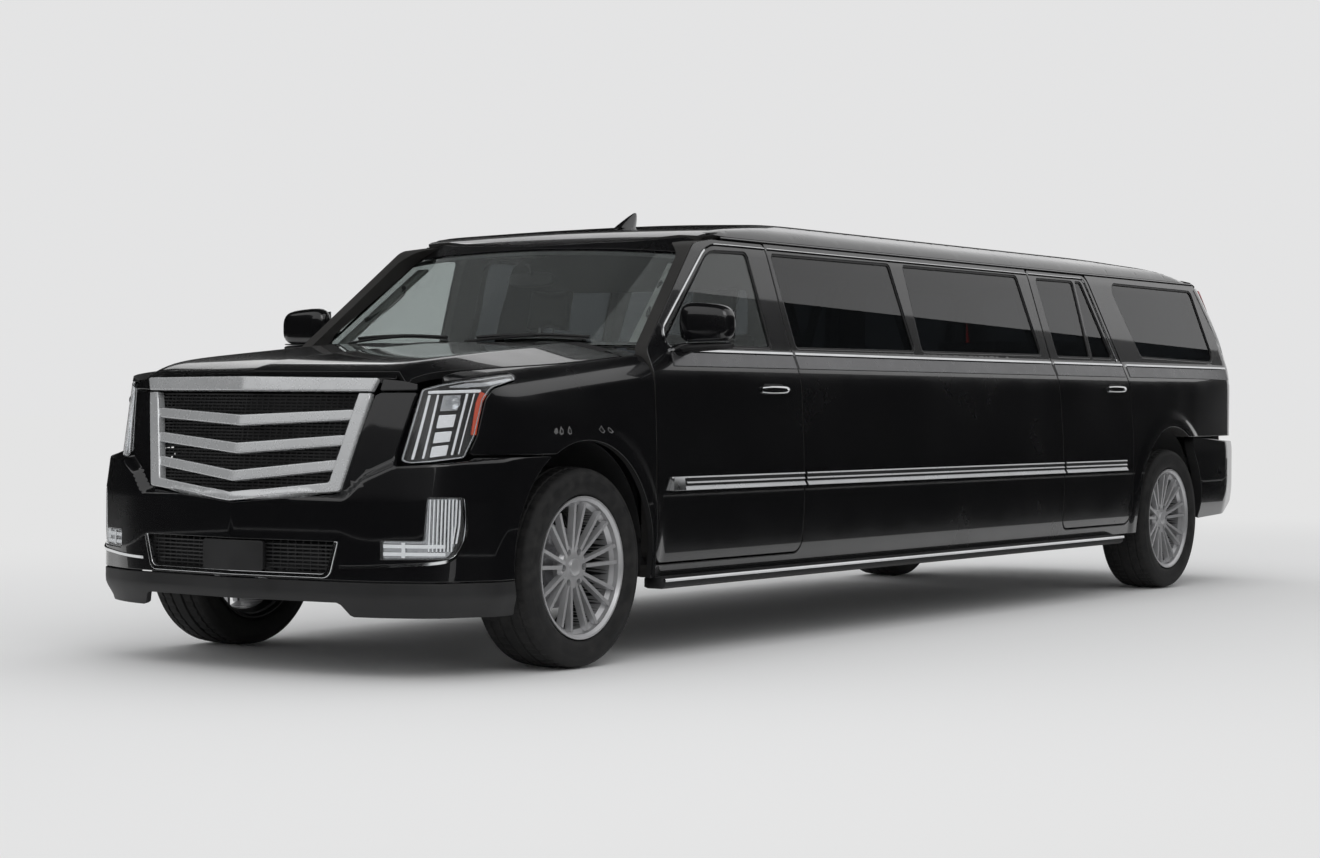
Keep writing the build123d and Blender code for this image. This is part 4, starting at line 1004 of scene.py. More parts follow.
def fender_uv(y, z):
    """The fender surface's (y, angle) at a station and height."""
    share = np.clip((y + 1000) / 1500, 0, 1)
    angles = np.linspace(-1.2, 1.5, 700)
    radius = np.interp(angles, *front_polar) * (1 - share) + np.interp(angles, *cowl_polar) * share
    return y, FENDER_SCALE * float(np.interp(z, FENDER_CENTRE[1] + radius * np.sin(angles), angles))


def on_fender(outline):
    """An outline of (y, z) points as one on the fender's surface."""
    return np.array([fender_uv(y, z) for y, z in outline])


HOOD_SIDE = [(598, -852, 0), (690, -765, 60), (790, -480, 900), (880, 0, 2500), (905, 392, 0)]
hood_side = smoothed(HOOD_SIDE, 6)
LID_BACK = 46.0            # the hood's lid starts this far behind the grille's face
HOOD_REAR = [(905, 392), (700, 366), (500, 346), (250, 326), (0, 318)]


def seam_x(y):
    """Half width of the seam between hood and fender."""
    return np.interp(y, hood_side[:, 1], hood_side[:, 0])


def seam_on_fender(y, out=GAP):
    """The seam's (y, angle), a little outside it."""
    x = float(seam_x(y)) + out
    z = float(hood_at(np.array([[x, float(y)]]))[0, 2])
    return y, fender_uv(y, z)[1]


LAMP = [(-744, 1122, 16), (-702, 1139, 0), (-600, 1163, 200), (-424, 1181, 0), (-345, 1187, 7),
        (-372, 1163, 12),
        (-535, 1130, 60), (-572, 1090, 60), (-612, 945, 0), (-652, 858, 22), (-818, 834, 16)]   # y, z


def fenders():
    """The fenders, from the headlamp round the wheel to the door."""
    arc = [(y, z) for y, z, _ in arc_points((0, ARCH_Z), ARCH_R, 117, -12.8, 60)]
    lamp = shifted(loop_of(LAMP, 12, 8), -5)
    start, end = (int(np.argmin(np.hypot(lamp[:, 0] - y, lamp[:, 1] - z))) for y,
                  z in ((-690, 1148), (-633, 884)))
    edge = [fender_uv(y, z) for y, z in lamp[start:end + 1]]
    edge += [fender_uv(y, 868) for y in np.linspace(-626, -230, 14)]
    edge += [fender_uv(y, z) for y, z in arc]
    edge += [fender_uv(500, z) for z in np.linspace(340, 1225, 26)]
    corner = [(x, 500) for x in (960, 940, 900, 860, 812)] + [(812, 404), (860, 404), (913, 404)]
    edge += [fender_uv(y, float(hood_at(np.array([[float(x), float(y)]]))[0, 2])) for x, y in corner]
    edge += [seam_on_fender(y) for y in np.linspace(385, -690, 40)]
    lip = [fender_uv(y, z) for y, z in flare_rows((0, ARCH_Z), ARCH_R, -14, 130) if z < 1060]
    skin = panel("fender_skin_left", fender_at, np.array(edge), [mats["body_paint"], mats["black_trim"]],
                 depth=28,
                 spacing=(26, 26), rows=np.array(lip))
    attach(skin, "body", ["front_fenders"])


def hood():
    """The lid, with its front edge a step above the painted strip over the grille."""
    half = [(x, float(nose_y(x, 1166.0)) + LID_BACK) for x in np.linspace(0, 640, 24)]
    half += [(690, -762), (704, -752)]
    half += [(float(seam_x(y)), y) for y in np.linspace(-735, 380, 40)]
    half += [(float(np.interp(y, [318, 392], [0, 905])) if y < 0 else x, y) for x, y in HOOD_REAR[:-1]]
    lid = panel("hood_lid", hood_at, mirrored_outline(half + [(0.0, 318.0)]),
                [mats["body_paint"], mats["black_trim"]],
                depth=30, spacing=(34, 34), mirror=False)
    attach(lid, "hood", ["hood"])
    corner = panel("hood_corner_left", nose_at,
                   loop_of([(612, 1160, 6), (604, 1114, 6), (752, 1117, 6), (748, 1141, 6),
                                                         (700, 1152, 20)], 14), [mats["body_paint"]],
                   depth=24,
                   spacing=(14, 14))
    attach(corner, "hood")
    strip_half = [(x, float(nose_y(x, 1166.0)) + 4) for x in np.linspace(0, 655, 26)]
    strip_half += [(x, float(nose_y(x, 1166.0)) + LID_BACK - 9) for x in np.linspace(640, 0, 26)]
    header = panel("hood_header", hood_at, mirrored_outline(strip_half)[:-1], [mats["body_paint"]], depth=22,
                   spacing=(20, 14), lift=-3, mirror=False)
    attach(header, "body")


# ---------------------------------------------------------------- bumper, grille and lamps
LOWER_GRILLE = [(-478, 532, 14), (-442, 398, 34), (442, 398, 34), (478, 532, 14)]
CORNER_LAMP = [(655, 541, 8), (816, 541, 10), (829, 708, 10), (964, 706, 12), (972, 566, 60), (924, 474, 40),
               (655, 469, 8)]


def arch_t(z, clear=0.0):
    """The distance along the nose's plan at which it meets the front wheel arch at a height."""
    y = -math.sqrt((ARCH_R + clear) ** 2 - (z - ARCH_Z) ** 2)
    t = np.linspace(1000, NOSE_LENGTH, 400)
    stations = nose_at(np.stack([t, np.full(400, z)], axis=1))[:, 1]
    return float(np.interp(y, np.maximum.accumulate(stations), t))


def crease_rows():
    """Points along both sides of the step between the nose and the bumper."""
    t = np.arange(-1340, 1341, 17.0)
    crease = np.interp(np.abs(t), *np.array(CREASE).T)
    return np.concatenate([np.stack([t, crease + out], axis=1) for out in (-16, -4, 6, 16, 28)])


def bumper():
    """The painted front bumper with the cheeks beside the grille, and the black lip under it."""
    half = [(arch_t(z), z) for z in np.linspace(384, 858, 34)]
    half += [(t, 860) for t in np.linspace(half[-1][0] - 20, 1000, 12)]
    half += [(968, 849), (900, 842), (800, 832), (700, 825), (690, 832), (700, 900), (724, 1000),
             (744, 1090),
             (750, 1108), (608, 1106), (588, 1096), (530, 905), (472, 718), (462, 715), (0, 674)]
    skin = panel("front_bumper_skin", nose_at,
                 loop_of([(t, z, 0) for t, z in mirrored_outline([(0, 384)] + half)], 30),
                 [mats["body_paint"], mats["black_trim"]],
                 [loop_of(LOWER_GRILLE), loop_of(CORNER_LAMP, 14),
                  loop_of([(-t, z, r) for t, z, r in CORNER_LAMP], 14)],
                 depth=26, spacing=(30, 22), mirror=False, rows=crease_rows())
    attach(skin, "body", ["front_bumper"])
    low = [(0, 296), (470, 296), (486, 288), (514, 248), (530, 242)]
    low += [(t, 242) for t in np.linspace(560, arch_t(242) - 12, 20)] + [(arch_t(z),
                                                                          z) for z in np.linspace(246, 378,
                                                                                                  10)]
    lip = panel("front_lip", nose_at,
                loop_of([(t, z, 0) for t, z in mirrored_outline(low + [(0, 378)])], 30),
                [mats["black_trim"]], depth=26, spacing=(40, 18), mirror=False)
    attach(lip, "body")
    holder = panel("plate_holder", nose_at,
                   loop_of([(-150, 408, 12), (150, 408, 12), (150, 526, 12), (-150, 526, 12)]),
                   [mats["black_trim"]], depth=18, spacing=(40, 30), lift=4, mirror=False)
    attach(holder, "body")


def joined(objects):
    """The objects as one, which keeps the first one's name."""
    mesh = bmesh.new()
    for obj in objects:
        mesh.from_mesh(obj.data)
    mesh.to_mesh(objects[0].data)
    mesh.free()
    for obj in objects[1:]:
        bpy.data.objects.remove(obj)
    return objects[0]


def lattice(name, surface, low, high, step, half_width, lift, thick=3.0):
    """A fine grid of bars over the box low to high of a surface, kept where half_width(z) allows."""
    bars = []
    for z in np.arange(low[1], high[1], step[1]):
        reach = half_width(z)
        path = [(t, z) for t in np.linspace(-reach, reach, 40)]
        bars += strip("bar", surface, path,
                      [(-thick, lift), (-thick, lift + 4), (thick, lift + 6), (thick, lift)],
                      mats["black_trim"], mirror=False)
    for t in np.arange(low[0], high[0] + 1, step[0]):
        heights = [z for z in np.linspace(low[1], high[1], 60) if half_width(z) > abs(t)]
        if len(heights) > 2:
            bars += strip("bar", surface, [(t, z) for z in np.linspace(heights[0], heights[-1], 10)],
                          [(-2, lift - 2), (-2, lift + 3), (2, lift + 3), (2, lift - 2)], mats["black_trim"],
                          mirror=False)
    made = joined(bars)
    made.name = name
    sharpen(made, 38)
    return [made]


def grille():
    """The bright grille: a broad top bar, a frame ending in a shallow V, three V bars over fine mesh."""
    chrome = [mats["silver"]]
    top = panel("grille_top_bar", nose_at,
                loop_of([(-600, 1161, 7), (-578, 1110, 7), (578, 1110, 7), (600, 1161, 7),
                                                    (0, 1166, 0)]), chrome, depth=30, spacing=(30, 16),
                lift=18,
                roll=6, mirror=False)
    attach(top, "body", ["grille"])
    surround = [(580, 1103, 0), (492, 724, 18), (0, 680, 0), (-492, 724, 18), (-580, 1103, 0),
                (-524, 1103, 0),
                (-440, 757, 12), (0, 711, 0), (440, 757, 12), (524, 1103, 0)]
    attach(panel("grille_frame", nose_at, loop_of(surround), chrome, depth=34, spacing=(30, 16), lift=16,
                 roll=6,
                 mirror=False), "body")
    for index, (height, drop) in enumerate(((1021, 26), (923, 38), (827, 50))):
        reach = 448 + (height - 757) * 84 / 346
        bar = [(-reach, height + 20, 0), (-reach, height - 20, 0), (0, height - drop - 21, 0),
               (reach, height - 20, 0),
               (reach, height + 20, 0), (0, height - drop + 21, 0)]
        attach(panel(f"grille_bar_{index + 1}", nose_at, loop_of(bar), chrome, depth=26, spacing=(30, 12),
                     lift=9,
                     roll=6, mirror=False), "body")

    def half_width(z):
        return np.interp(z, [714, 757, 1103], [20, 436, 520])
    attach(lattice("grille_mesh", nose_at, (-520, 722), (520, 1104), (26, 13), half_width, -22), "body")
    back = [(-500, 1100, 0), (-424, 764, 0), (0, 716, 0), (424, 764, 0), (500, 1100, 0)]
    attach(panel("grille_backing", nose_at, loop_of(back), [mats["black_trim"]], depth=5, lift=-52, roll=1,
                 mirror=False), "body")


def lower_grille():
    """The lower grille's bright surround and its mesh."""
    rim = [(-486, 534, 6), (-448, 390, 40), (448, 390, 40), (486, 534, 6), (468, 534, 4), (434, 408, 30),
           (-434, 408, 30), (-468, 534, 4)]
    attach(panel("lower_grille_rim", nose_at, loop_of(rim), [mats["chrome"]], depth=16, spacing=(30, 12),
                 lift=6,
                 roll=3, mirror=False), "body")

    def half_width(z):
        return np.interp(z, [400, 440, 532], [432, 452, 474])
    attach(lattice("lower_mesh", nose_at, (-468, 410), (468, 530), (34, 15), half_width, -26), "body")


def lamp_quad(a, b):
    """A place in the headlamp, from its inner (a = 0) and lower (b = 0) edges, as (y, z)."""
    low = np.array((-812, 840)) * (1 - a) + np.array((-652, 866)) * a
    high = np.array((-742, 1120)) * (1 - a) + np.array((-572, 1128)) * a
    return low * (1 - b) + high * b


def lamp_piece(name, corners, material, depth, lift, roll=2.0):
    """A block in the headlamp from (a, b, radius) corners."""
    places = [(*lamp_quad(a, b), radius) for a, b, radius in corners]
    return attach(panel(name, fender_at, on_fender(loop_of(places, 12, 5)), [material], depth=depth,
                        lift=lift,
                        roll=roll, spacing=(12, 12)), "body")


def headlamps():
    """Each headlamp: lens, dark housing, four lamps between bright blades, and an amber reflector."""
    outline = loop_of(LAMP, 12, 8)
    lens = panel("headlamp_lens_left", fender_at, on_fender(outline), [mats["lamp"]], depth=4,
                 spacing=(16, 16), roll=1.5)
    attach(lens, "body", ["headlamps"])
    attach(panel("headlamp_housing_left", fender_at, on_fender(shifted(outline, 2)), [mats["black_trim"]],
                 depth=6,
                 lift=-52, spacing=(16, 16), roll=1), "body")
    rim = panel("headlamp_rim_left", fender_at, on_fender(shifted(outline, 1.5)), [mats["lamp_bezel"]],
                [on_fender(shifted(outline, 5.5))], depth=44, lift=-7, spacing=(16, 16), roll=1)
    attach(rim, "body")
    for name, a0, a1 in (("inner", 0.07, 0.12), ("second", 0.2, 0.25), ("third", 0.72, 0.78),
                         ("outer", 0.86, 0.9)):
        lamp_piece(f"headlamp_blade_{name}_left",
                   [(a0, 0.03, 0), (a1, 0.03, 0), (a1, 0.93, 0), (a0, 0.93, 0)],
                   mats["chrome"], 26, -10)
    for index, (low, high) in enumerate(((0.04, 0.2), (0.24, 0.4), (0.45, 0.64), (0.69, 0.92))):
        lamp_piece(f"headlamp_cell_{index + 1}_left",
                   [(0.32, low, 0), (0.66, low, 0), (0.66, high, 0), (0.32, high, 0)],
                   mats["chrome"] if index < 3 else mats["lamp_bezel"], 12, -24)
    lamp_piece("headlamp_top_left", [(0.06, 0.94, 0), (1.0, 0.93, 0), (1.0, 0.985, 0), (0.06, 0.985, 0)],
               mats["chrome"], 10, -10)
    centre = lamp_quad(0.49, 0.8)
    ball = sphere("headlamp_projector_left", fender_at(np.array([fender_uv(*centre)]))[0] + (-8, 20, 0), 27)
    attach(ball, "body")
    amber = [(-556, 1104, 8), (-578, 1070, 30), (-607, 945, 5), (-625, 945, 5), (-598, 1070, 40),
             (-580, 1116, 6)]
    attach(panel("headlamp_amber_left", fender_at, on_fender(loop_of(amber, 12, 5)), [mats["amber"]],
                 depth=10, lift=-9,
                 spacing=(12, 12), roll=2), "body")
    tail = [(-700, 1128, 3), (-600, 1150, 160), (-420, 1171, 0), (-368, 1175, 4), (-385, 1164, 4),
            (-540, 1141, 50),
            (-620, 1128, 60)]
    attach(panel("headlamp_tail_left", fender_at, on_fender(loop_of(tail, 12, 5)), [mats["lamp_bezel"]],
                 depth=10,
                 lift=-10, spacing=(12, 12), roll=2), "body")


def sphere(name, centre, radius, squash=(1, 1, 1)):
    """A ball on each side."""
    rings = []
    for lat in np.linspace(-math.pi / 2 + 0.06, math.pi / 2 - 0.06, 14):
        rings.append([(centre[0] + radius * squash[0] * math.cos(lat) * math.cos(lon),
                       centre[1] + radius * squash[1] * math.sin(lat),
                       centre[2] + radius * squash[2] * math.cos(lat) * math.sin(lon))
                      for lon in np.linspace(0, 2 * math.pi, 24, endpoint=False)])
    return grid(name, np.array(rings), mats["lamp_glass_ball"])


def corner_lamps():
    """The clear L-shaped lamps in the bumper's corners, with ribbed reflectors and a bright strip below."""
    outline = loop_of(CORNER_LAMP, 14, 7)
    attach(panel("corner_lens_left", nose_at, shifted(outline, 1), [mats["lamp"]], depth=4, spacing=(20, 20),
                 lift=-1,
                 roll=1.5), "body", ["corner_lamps"])
    attach(panel("corner_housing_left", nose_at, shifted(outline, 2), [mats["lamp_bezel"]], depth=5,
                 lift=-24,
                 spacing=(20, 20), roll=1), "body")
    ribs = []
    for t in np.linspace(838, 958, 9):
        path = [(t - 3, 500), (t, 600), (t + 3, 700)] if t < 935 else [(t - 14, 530), (t - 2, 600),
                                                                       (t + 3, 698)]
        ribs += strip("rib", nose_at, path, [(-5, -20), (-3, -13), (3, -13), (5, -20)], mats["chrome"],
                      mirror=False)
    for z in (490, 520):
        ribs += strip("rib", nose_at, [(t, z) for t in np.linspace(664, 900, 12)],
                      [(-9, -20), (-7, -12), (7, -12), (9, -20)], mats["chrome"], mirror=False)
    ribs += strip("rib", nose_at, [(740, 476), (740, 500), (740, 534)],
                  [(-9, -20), (-7, -10), (7, -10), (9, -20)], mats["chrome"], mirror=False)
    column = joined(ribs)
    column.name = "corner_ribs_left"
    attach([column, *mirror_copy(column)], "body")
    path = [(492, 436), (560, 438), (700, 446), (820, 453), (878, 459), (925, 468), (958, 505), (977, 560),
            (980, 640),
            (972, 706)]
    path = smooth_path(path, 60)
    attach(strip("corner_strip_left", nose_at, path, [(-7, -2), (-6, 5), (5, 6), (7, -2)], mats["chrome"]),
           "body")


def mirror_copy(obj):
    """A left piece's mirror image."""
    mesh = bmesh.new()
    mesh.from_mesh(obj.data)
    bmesh.ops.scale(mesh, vec=(-1, 1, 1), verts=mesh.verts)
    bmesh.ops.reverse_faces(mesh, faces=mesh.faces)
    data = bpy.data.meshes.new(obj.name.replace("left", "right"))
    mesh.to_mesh(data)
    mesh.free()
    for material in obj.data.materials:
        data.materials.append(material)
    other = bpy.data.objects.new(data.name, data)
    bpy.context.scene.collection.objects.link(other)
    return [other]


def smooth_path(points, count):
    """A smooth, evenly spaced path through points."""
    points = np.asarray(points, float)
    along = np.concatenate([[0], np.cumsum(np.linalg.norm(np.diff(points, axis=0), axis=1))])
    even = np.linspace(0, along[-1], count)
    line = np.stack([np.interp(even, along, points[:, k]) for k in range(points.shape[1])], axis=1)
    for _ in range(6):
        line[1:-1] = (line[:-2] + 2 * line[1:-1] + line[2:]) / 4
    return line


# ---------------------------------------------------------------- side trim, mirrors and wipers
FRAME_LINE = [(720, 1300, 0), (544, 1300, 60), (1190, 1776, 270), (1420, 1776, 0)]      # y, z, radius
FRAME_REAR = [(5000, 1779, 0), (5158, 1779, 40), (5332, 1330, 12), (5322, 1316, 0)]
BELT = (1226.0, 1290.0, 1303.0)          # foot and head of the satin band, and the top of its bright edge
MOULDING = (702.0, 722.0, 754.0, 762.0)  # foot, top of the bright strip, top of the inlay, top of the rib
SPANS = {"front_door_left": (560, 1700), "body": (1722, 4440), "rear_door_left": (4478, 5378)}
MOULDING_SPANS = {"front_door_left": (612, 1712), "body": (1734, 4486), "rear_door_left": (4512, 5318)}


def band(name, low, high, height, y0, y1, material, body, slant=0.0, lean=0.0):
    """A flat strip along the side between two heights. slant leans its front end back, lean its face up."""
    path = [(y, (low + high) / 2) for y in np.linspace(y0, y1, max(2, int((y1 - y0) / 60)))]
    half = (high - low) / 2
    profile = [(-half, -1), (-half, height - 1.5), (-half + 1.5, height), (half - 1.5, height - lean),
               (half, height - lean - 1.5), (half, -1)]
    made = strip(name, side_at, path, profile, material)
    for obj in made:
        front = min(v.co.y for v in obj.data.vertices)
        for vertex in obj.data.vertices:
            if vertex.co.y < front + 0.002:
                vertex.co.y += slant / 1000 * (low / 1000 - vertex.co.z) / (high / 1000 - low / 1000)
    return attach(made, body)


def belt():
    """The satin band under the windows with its bright upper edge, cut at the doors."""
    spans = [*SPANS.items(), ("body", (5441, 6935))]
    for index, (body, (y0, y1)) in enumerate(spans):
        start = 678 if index == 0 else y0
        band(f"belt_band_{index}_left", BELT[0], BELT[1], 4, start, y1, mats["belt"], body,
             -16 * (index == 0))
        band(f"belt_edge_{index}_left", BELT[1], BELT[2], 7, start + 4 * (index == 0), y1, mats["chrome"],
             body)


def frame_line(name, path, body):
    """A thin bright line round the window group."""
    return attach(strip(name, side_at, path, [(-5, -1), (-4.5, 4), (0, 6), (4.5, 4), (5, -1)],
                        mats["chrome"]), body)


def window_frame():
    """The bright line: up the front door's pillar, along the top, down behind the rear door's glass."""
    front = rounded(FRAME_LINE, closed=False, spacing=40)
    top = [(y, 1777.0) for y in np.linspace(1330, 1686, 10)]
    frame_line("frame_line_front_left", [*front, *top], "front_door_left")
    frame_line("frame_line_top_left", [(y, 1777.0) for y in np.linspace(1706, 4426, 60)], "body")
    lead = [(y, 1778.0) for y in np.linspace(4448, 4960, 12)]
    frame_line("frame_line_rear_left", [*lead, *rounded(FRAME_REAR, closed=False, spacing=40)],
               "rear_door_left")


def moulding():
    """The body-side moulding: a bright foot, a dark inlay and a thin rib above, with a solid front end."""
    foot, strip_top, inlay_top, rib_top = MOULDING
    for index, (body, (y0, y1)) in enumerate(MOULDING_SPANS.items()):
        first = index == 0
        band(f"moulding_base_{index}_left", foot, rib_top, 6, y0, y1, mats["black_trim"], body,
             -18 * first)
        band(f"moulding_strip_{index}_left", foot + 1, strip_top, 17, y0 + 6 * first, y1, mats["satin"],
             body,
             lean=10)
        band(f"moulding_rib_{index}_left", inlay_top, rib_top - 1, 10, y0 - 8 * first, y1, mats["satin"],
             body,
             lean=2)
        band(f"moulding_line_{index}_left", strip_top + 9, strip_top + 18, 11, y0 + 110 * first, y1,
             mats["satin"], body,
             lean=4)
    band("moulding_end_left", foot + 2, rib_top - 2, 19, 604, 700, mats["satin"], "front_door_left",
         -18, 8)


def handles():
    """Chrome pull handles over dark recesses."""
    for body, y, z in (("front_door_left", 1472, 1137), ("rear_door_left", 5213, 1164)):
        label = body.split("_")[0]
        cup = [(y - 100, z + 22, 20), (y + 78, z + 22, 20), (y + 78, z - 22, 20), (y - 100, z - 22, 20)]
        attach(panel(f"{label}_handle_cup_left", side_at, loop_of(cup, 10, 6), [mats["black_trim"]], depth=6,
                     lift=1.5,
                     spacing=(20, 14), roll=1.5), body)
        rings = []
        for share in np.linspace(0, 1, 22):
            at = y - 122 + 232 * share
            rise_up = 26 * math.sin(math.pi * min(max(share, 0.02), 0.98)) ** 0.35
            wide = 17 * (1 - 0.25 * abs(2 * share - 1) ** 4)
            x = float(side_x(at, z))
            rings.append([(x + rise_up - 4 + 8 * math.cos(a), at, z - 4 + wide * math.sin(a))
                          for a in np.linspace(0, 2 * math.pi, 16, endpoint=False)])
        attach(grid(f"{label}_handle_left", np.array(rings), mats["chrome"]), body)


def running_boards():
    """Rounded boards under the doors with a ribbed tread and a bright strip on their edge."""
    section = [(942, 300), (960, 294), (1030, 294), (1044, 304), (1047, 322), (1042, 336), (1032, 341),
               (948, 341),
               (942, 334)]
    stations = [522, 530, *np.linspace(560, 5200, 60), 5230, 5238]
    shrink = [0.7, 1, *[1] * 60, 1, 0.7]
    rings = [[(995 + (x - 995) * k, y, 318 + (z - 318) * k) for x, z in section] for y,
             k in zip(stations, shrink)]
    attach(grid("running_board_left", np.array(rings), mats["black_trim"]), "body",
           ["running_boards"])
    edge = [[(x, y, z) for x, z in ((1044, 322), (1051, 324), (1053, 331), (1049, 337), (1040, 338))]
            for y in np.linspace(526, 5234, 60)]
    attach(grid("board_strip_left", np.array(edge), mats["chrome"]), "body")
    ribs = []
    for x in (962, 976, 990, 1004, 1018):
        rows = [[(x + a, y, 340 + b) for a, b in ((-3, 0), (-2, 3), (2, 3), (3, 0))] for y in (560, 2000,
                                                                                               3600, 5200)]
        ribs += grid("rib", np.array(rows), mats["black_trim"], mirror=False)
    tread = joined(ribs)
    tread.name = "board_tread_left"
    attach([tread, *mirror_copy(tread)], "body")


def superellipse(a, b, power, count):
    """Points round a superellipse."""
    turns = np.linspace(0, 2 * math.pi, count, endpoint=False)
    c, s = np.cos(turns), np.sin(turns)
    return np.stack([a * np.sign(c) * np.abs(c) ** (2 / power), b * np.sign(s) * np.abs(s) ** (2 / power)],
                    axis=1)


def mirrors():
    """Door mirrors: a rounded shell with a satin blade along its foot, its glass, and the arm."""
    shell_rings, foot_rings = [], []
    for share in np.linspace(0, 1, 26):
        ends = (1 - abs(2 * share - 1) ** 5) ** 0.34 if 0 < share < 1 else 0.3
        x = 978 + 258 * share
        low, high = 1326 + 6 * share, 1502 - 20 * share * share
        middle, half = (low + high) / 2, (high - low) / 2
        shell_rings.append([(x, 752 + (a if a > 0 else 1.25 * a), middle + b)
                            for a, b in superellipse(40 * max(ends, 0.4), half * max(ends, 0.35), 3.2, 36)])
        low2, high2 = 1286 + 16 * share, 1324 + 6 * share
        foot_rings.append([(x - 2, 754 + (a if a > 0 else 1.2 * a), (low2 + high2) / 2 + b)
                           for a,
                           b in superellipse(38 * max(ends, 0.4), (high2 - low2) / 2 * max(ends, 0.5), 2.6,
                                             28)])
    attach(grid("mirror_shell_left", np.array(shell_rings), mats["body_paint"], smooth_angle=60),
           "front_door_left",
           ["door_mirror_left"])
    attach(grid("mirror_foot_left", np.array(foot_rings), mats["black_trim"], smooth_angle=60),
           "front_door_left")
    blade = [[(x, y, z + 1327 + 0.02 * (x - 1012)) for y,
              z in ((716, -2), (706, 0), (706, 3), (716, 5), (740, 4), (740, -1))]
             for x in np.linspace(986, 1228, 20)]
    blade = [[(p[0], p[1] + 26 * abs((p[0] - 1120) / 110) ** 4, p[2]) for p in ring] for ring in blade]
    attach(grid("mirror_blade_left", np.array(blade), mats["satin"]), "front_door_left")
    glass = [[(996, y, 1342), (1216, y, 1346), (1222, y, 1466), (1002, y, 1486)] for y in (790, 796)]
    attach(grid("mirror_glass_left", np.array(glass), mats["mirror"]), "front_door_left")
    arm = []
    for share in np.linspace(0, 1, 12):
        x = 950 + 110 * share
        tall, deep = 30 - 10 * share, 44 - 16 * share
        arm.append([(x, 756 + a, 1294 + 26 * share + b) for a, b in superellipse(deep, tall, 3, 24)])
    attach(grid("mirror_arm_left", np.array(arm), mats["body_paint"], smooth_angle=60), "front_door_left")


WIPERS = (((-660, 1324), (-330, 1352), (-620, -60)), ((60, 1324), (390, 1352), (100, 640)))


def wipers():
    """Two black wipers at rest along the foot of the windshield."""
    for index, (pivot, knee, (x0, x1)) in enumerate(WIPERS):
        arm = strip(f"wiper_arm_{index + 1}", screen_at,
                    smooth_path([pivot, ((pivot[0] + knee[0]) / 2, 1342), knee], 16),
                    [(-7, 6), (-5, 13), (5, 13), (7, 6)], mats["black_trim"], mirror=False)
        attach(arm, "body")
        blade = strip(f"wiper_blade_{index + 1}", screen_at,
                      [(x, 1346 + 10 * math.sin(math.pi * (x - x0) / (x1 - x0))) for x in np.linspace(x0, x1,
                                                                                                      30)],
                      [(-9, 1.5), (-4, 5), (-6, 12), (0, 16), (6, 12), (3, 5), (1, 1.5)], mats["black_trim"],
                      mirror=False)
        attach(blade, "body")


def cowl_grille():
    """Slots across the cowl panel under the wipers."""
    bars = []
    for x in np.arange(-620, 621, 20):
        edge = float(np.interp(abs(x), [0, 250, 500, 700], [326, 334, 354, 374])) + 14
        rows = [[(x - 4, y, z), (x - 3, y, z + 5), (x + 3, y, z + 5), (x + 4, y, z)]
                for y, z in ((edge, float(hood_at(np.array([[float(x), edge]]))[0, 2]) - 9),
                             (edge + 52, float(hood_at(np.array([[float(x), edge + 52]]))[0, 2]) - 10))]
        bars += grid("slot", np.array(rows), mats["black_trim"], mirror=False)
    slots = joined(bars)
    slots.name = "cowl_slots"
    attach([slots], "body")


# ---------------------------------------------------------------- wheels and tyres
REAR_PLAN = [(0, 7238, 0), (760, 7195, 300), (962, 7090, 120), (1010, 6860, 300), (1008, 6350, 0)]
rear_plan = smoothed(REAR_PLAN)
rear_arc = np.concatenate([[0], np.cumsum(np.linalg.norm(np.diff(rear_plan, axis=0), axis=1))])
rear_way = np.gradient(rear_plan, axis=0) / np.linalg.norm(np.gradient(rear_plan, axis=0), axis=1)[:, None]


def rear_at(uv):
    """Rear bumper surface: (t along its plan from the middle, z) to a point. Its foot tucks under."""
    t, z = np.abs(uv[:, 0]), uv[:, 1]
    side = -np.sign(uv[:, 0] + 1e-9)
    x, y = (np.interp(t, rear_arc, rear_plan[:, k]) for k in (0, 1))
    along_x, along_y = (np.interp(t, rear_arc, rear_way[:, k]) for k in (0, 1))
    tuck = 34 * np.clip((600 - z) / 210, 0, 1) ** 2 + 9 * smooth_step(800, 880, z)
    return np.stack([side * (x + tuck * along_y), y - tuck * along_x, z], axis=1)


def rear_t(y):
    """Length along the rear bumper's plan at a station of its side."""
    return float(np.interp(-y, -rear_plan[:, 1], rear_arc))


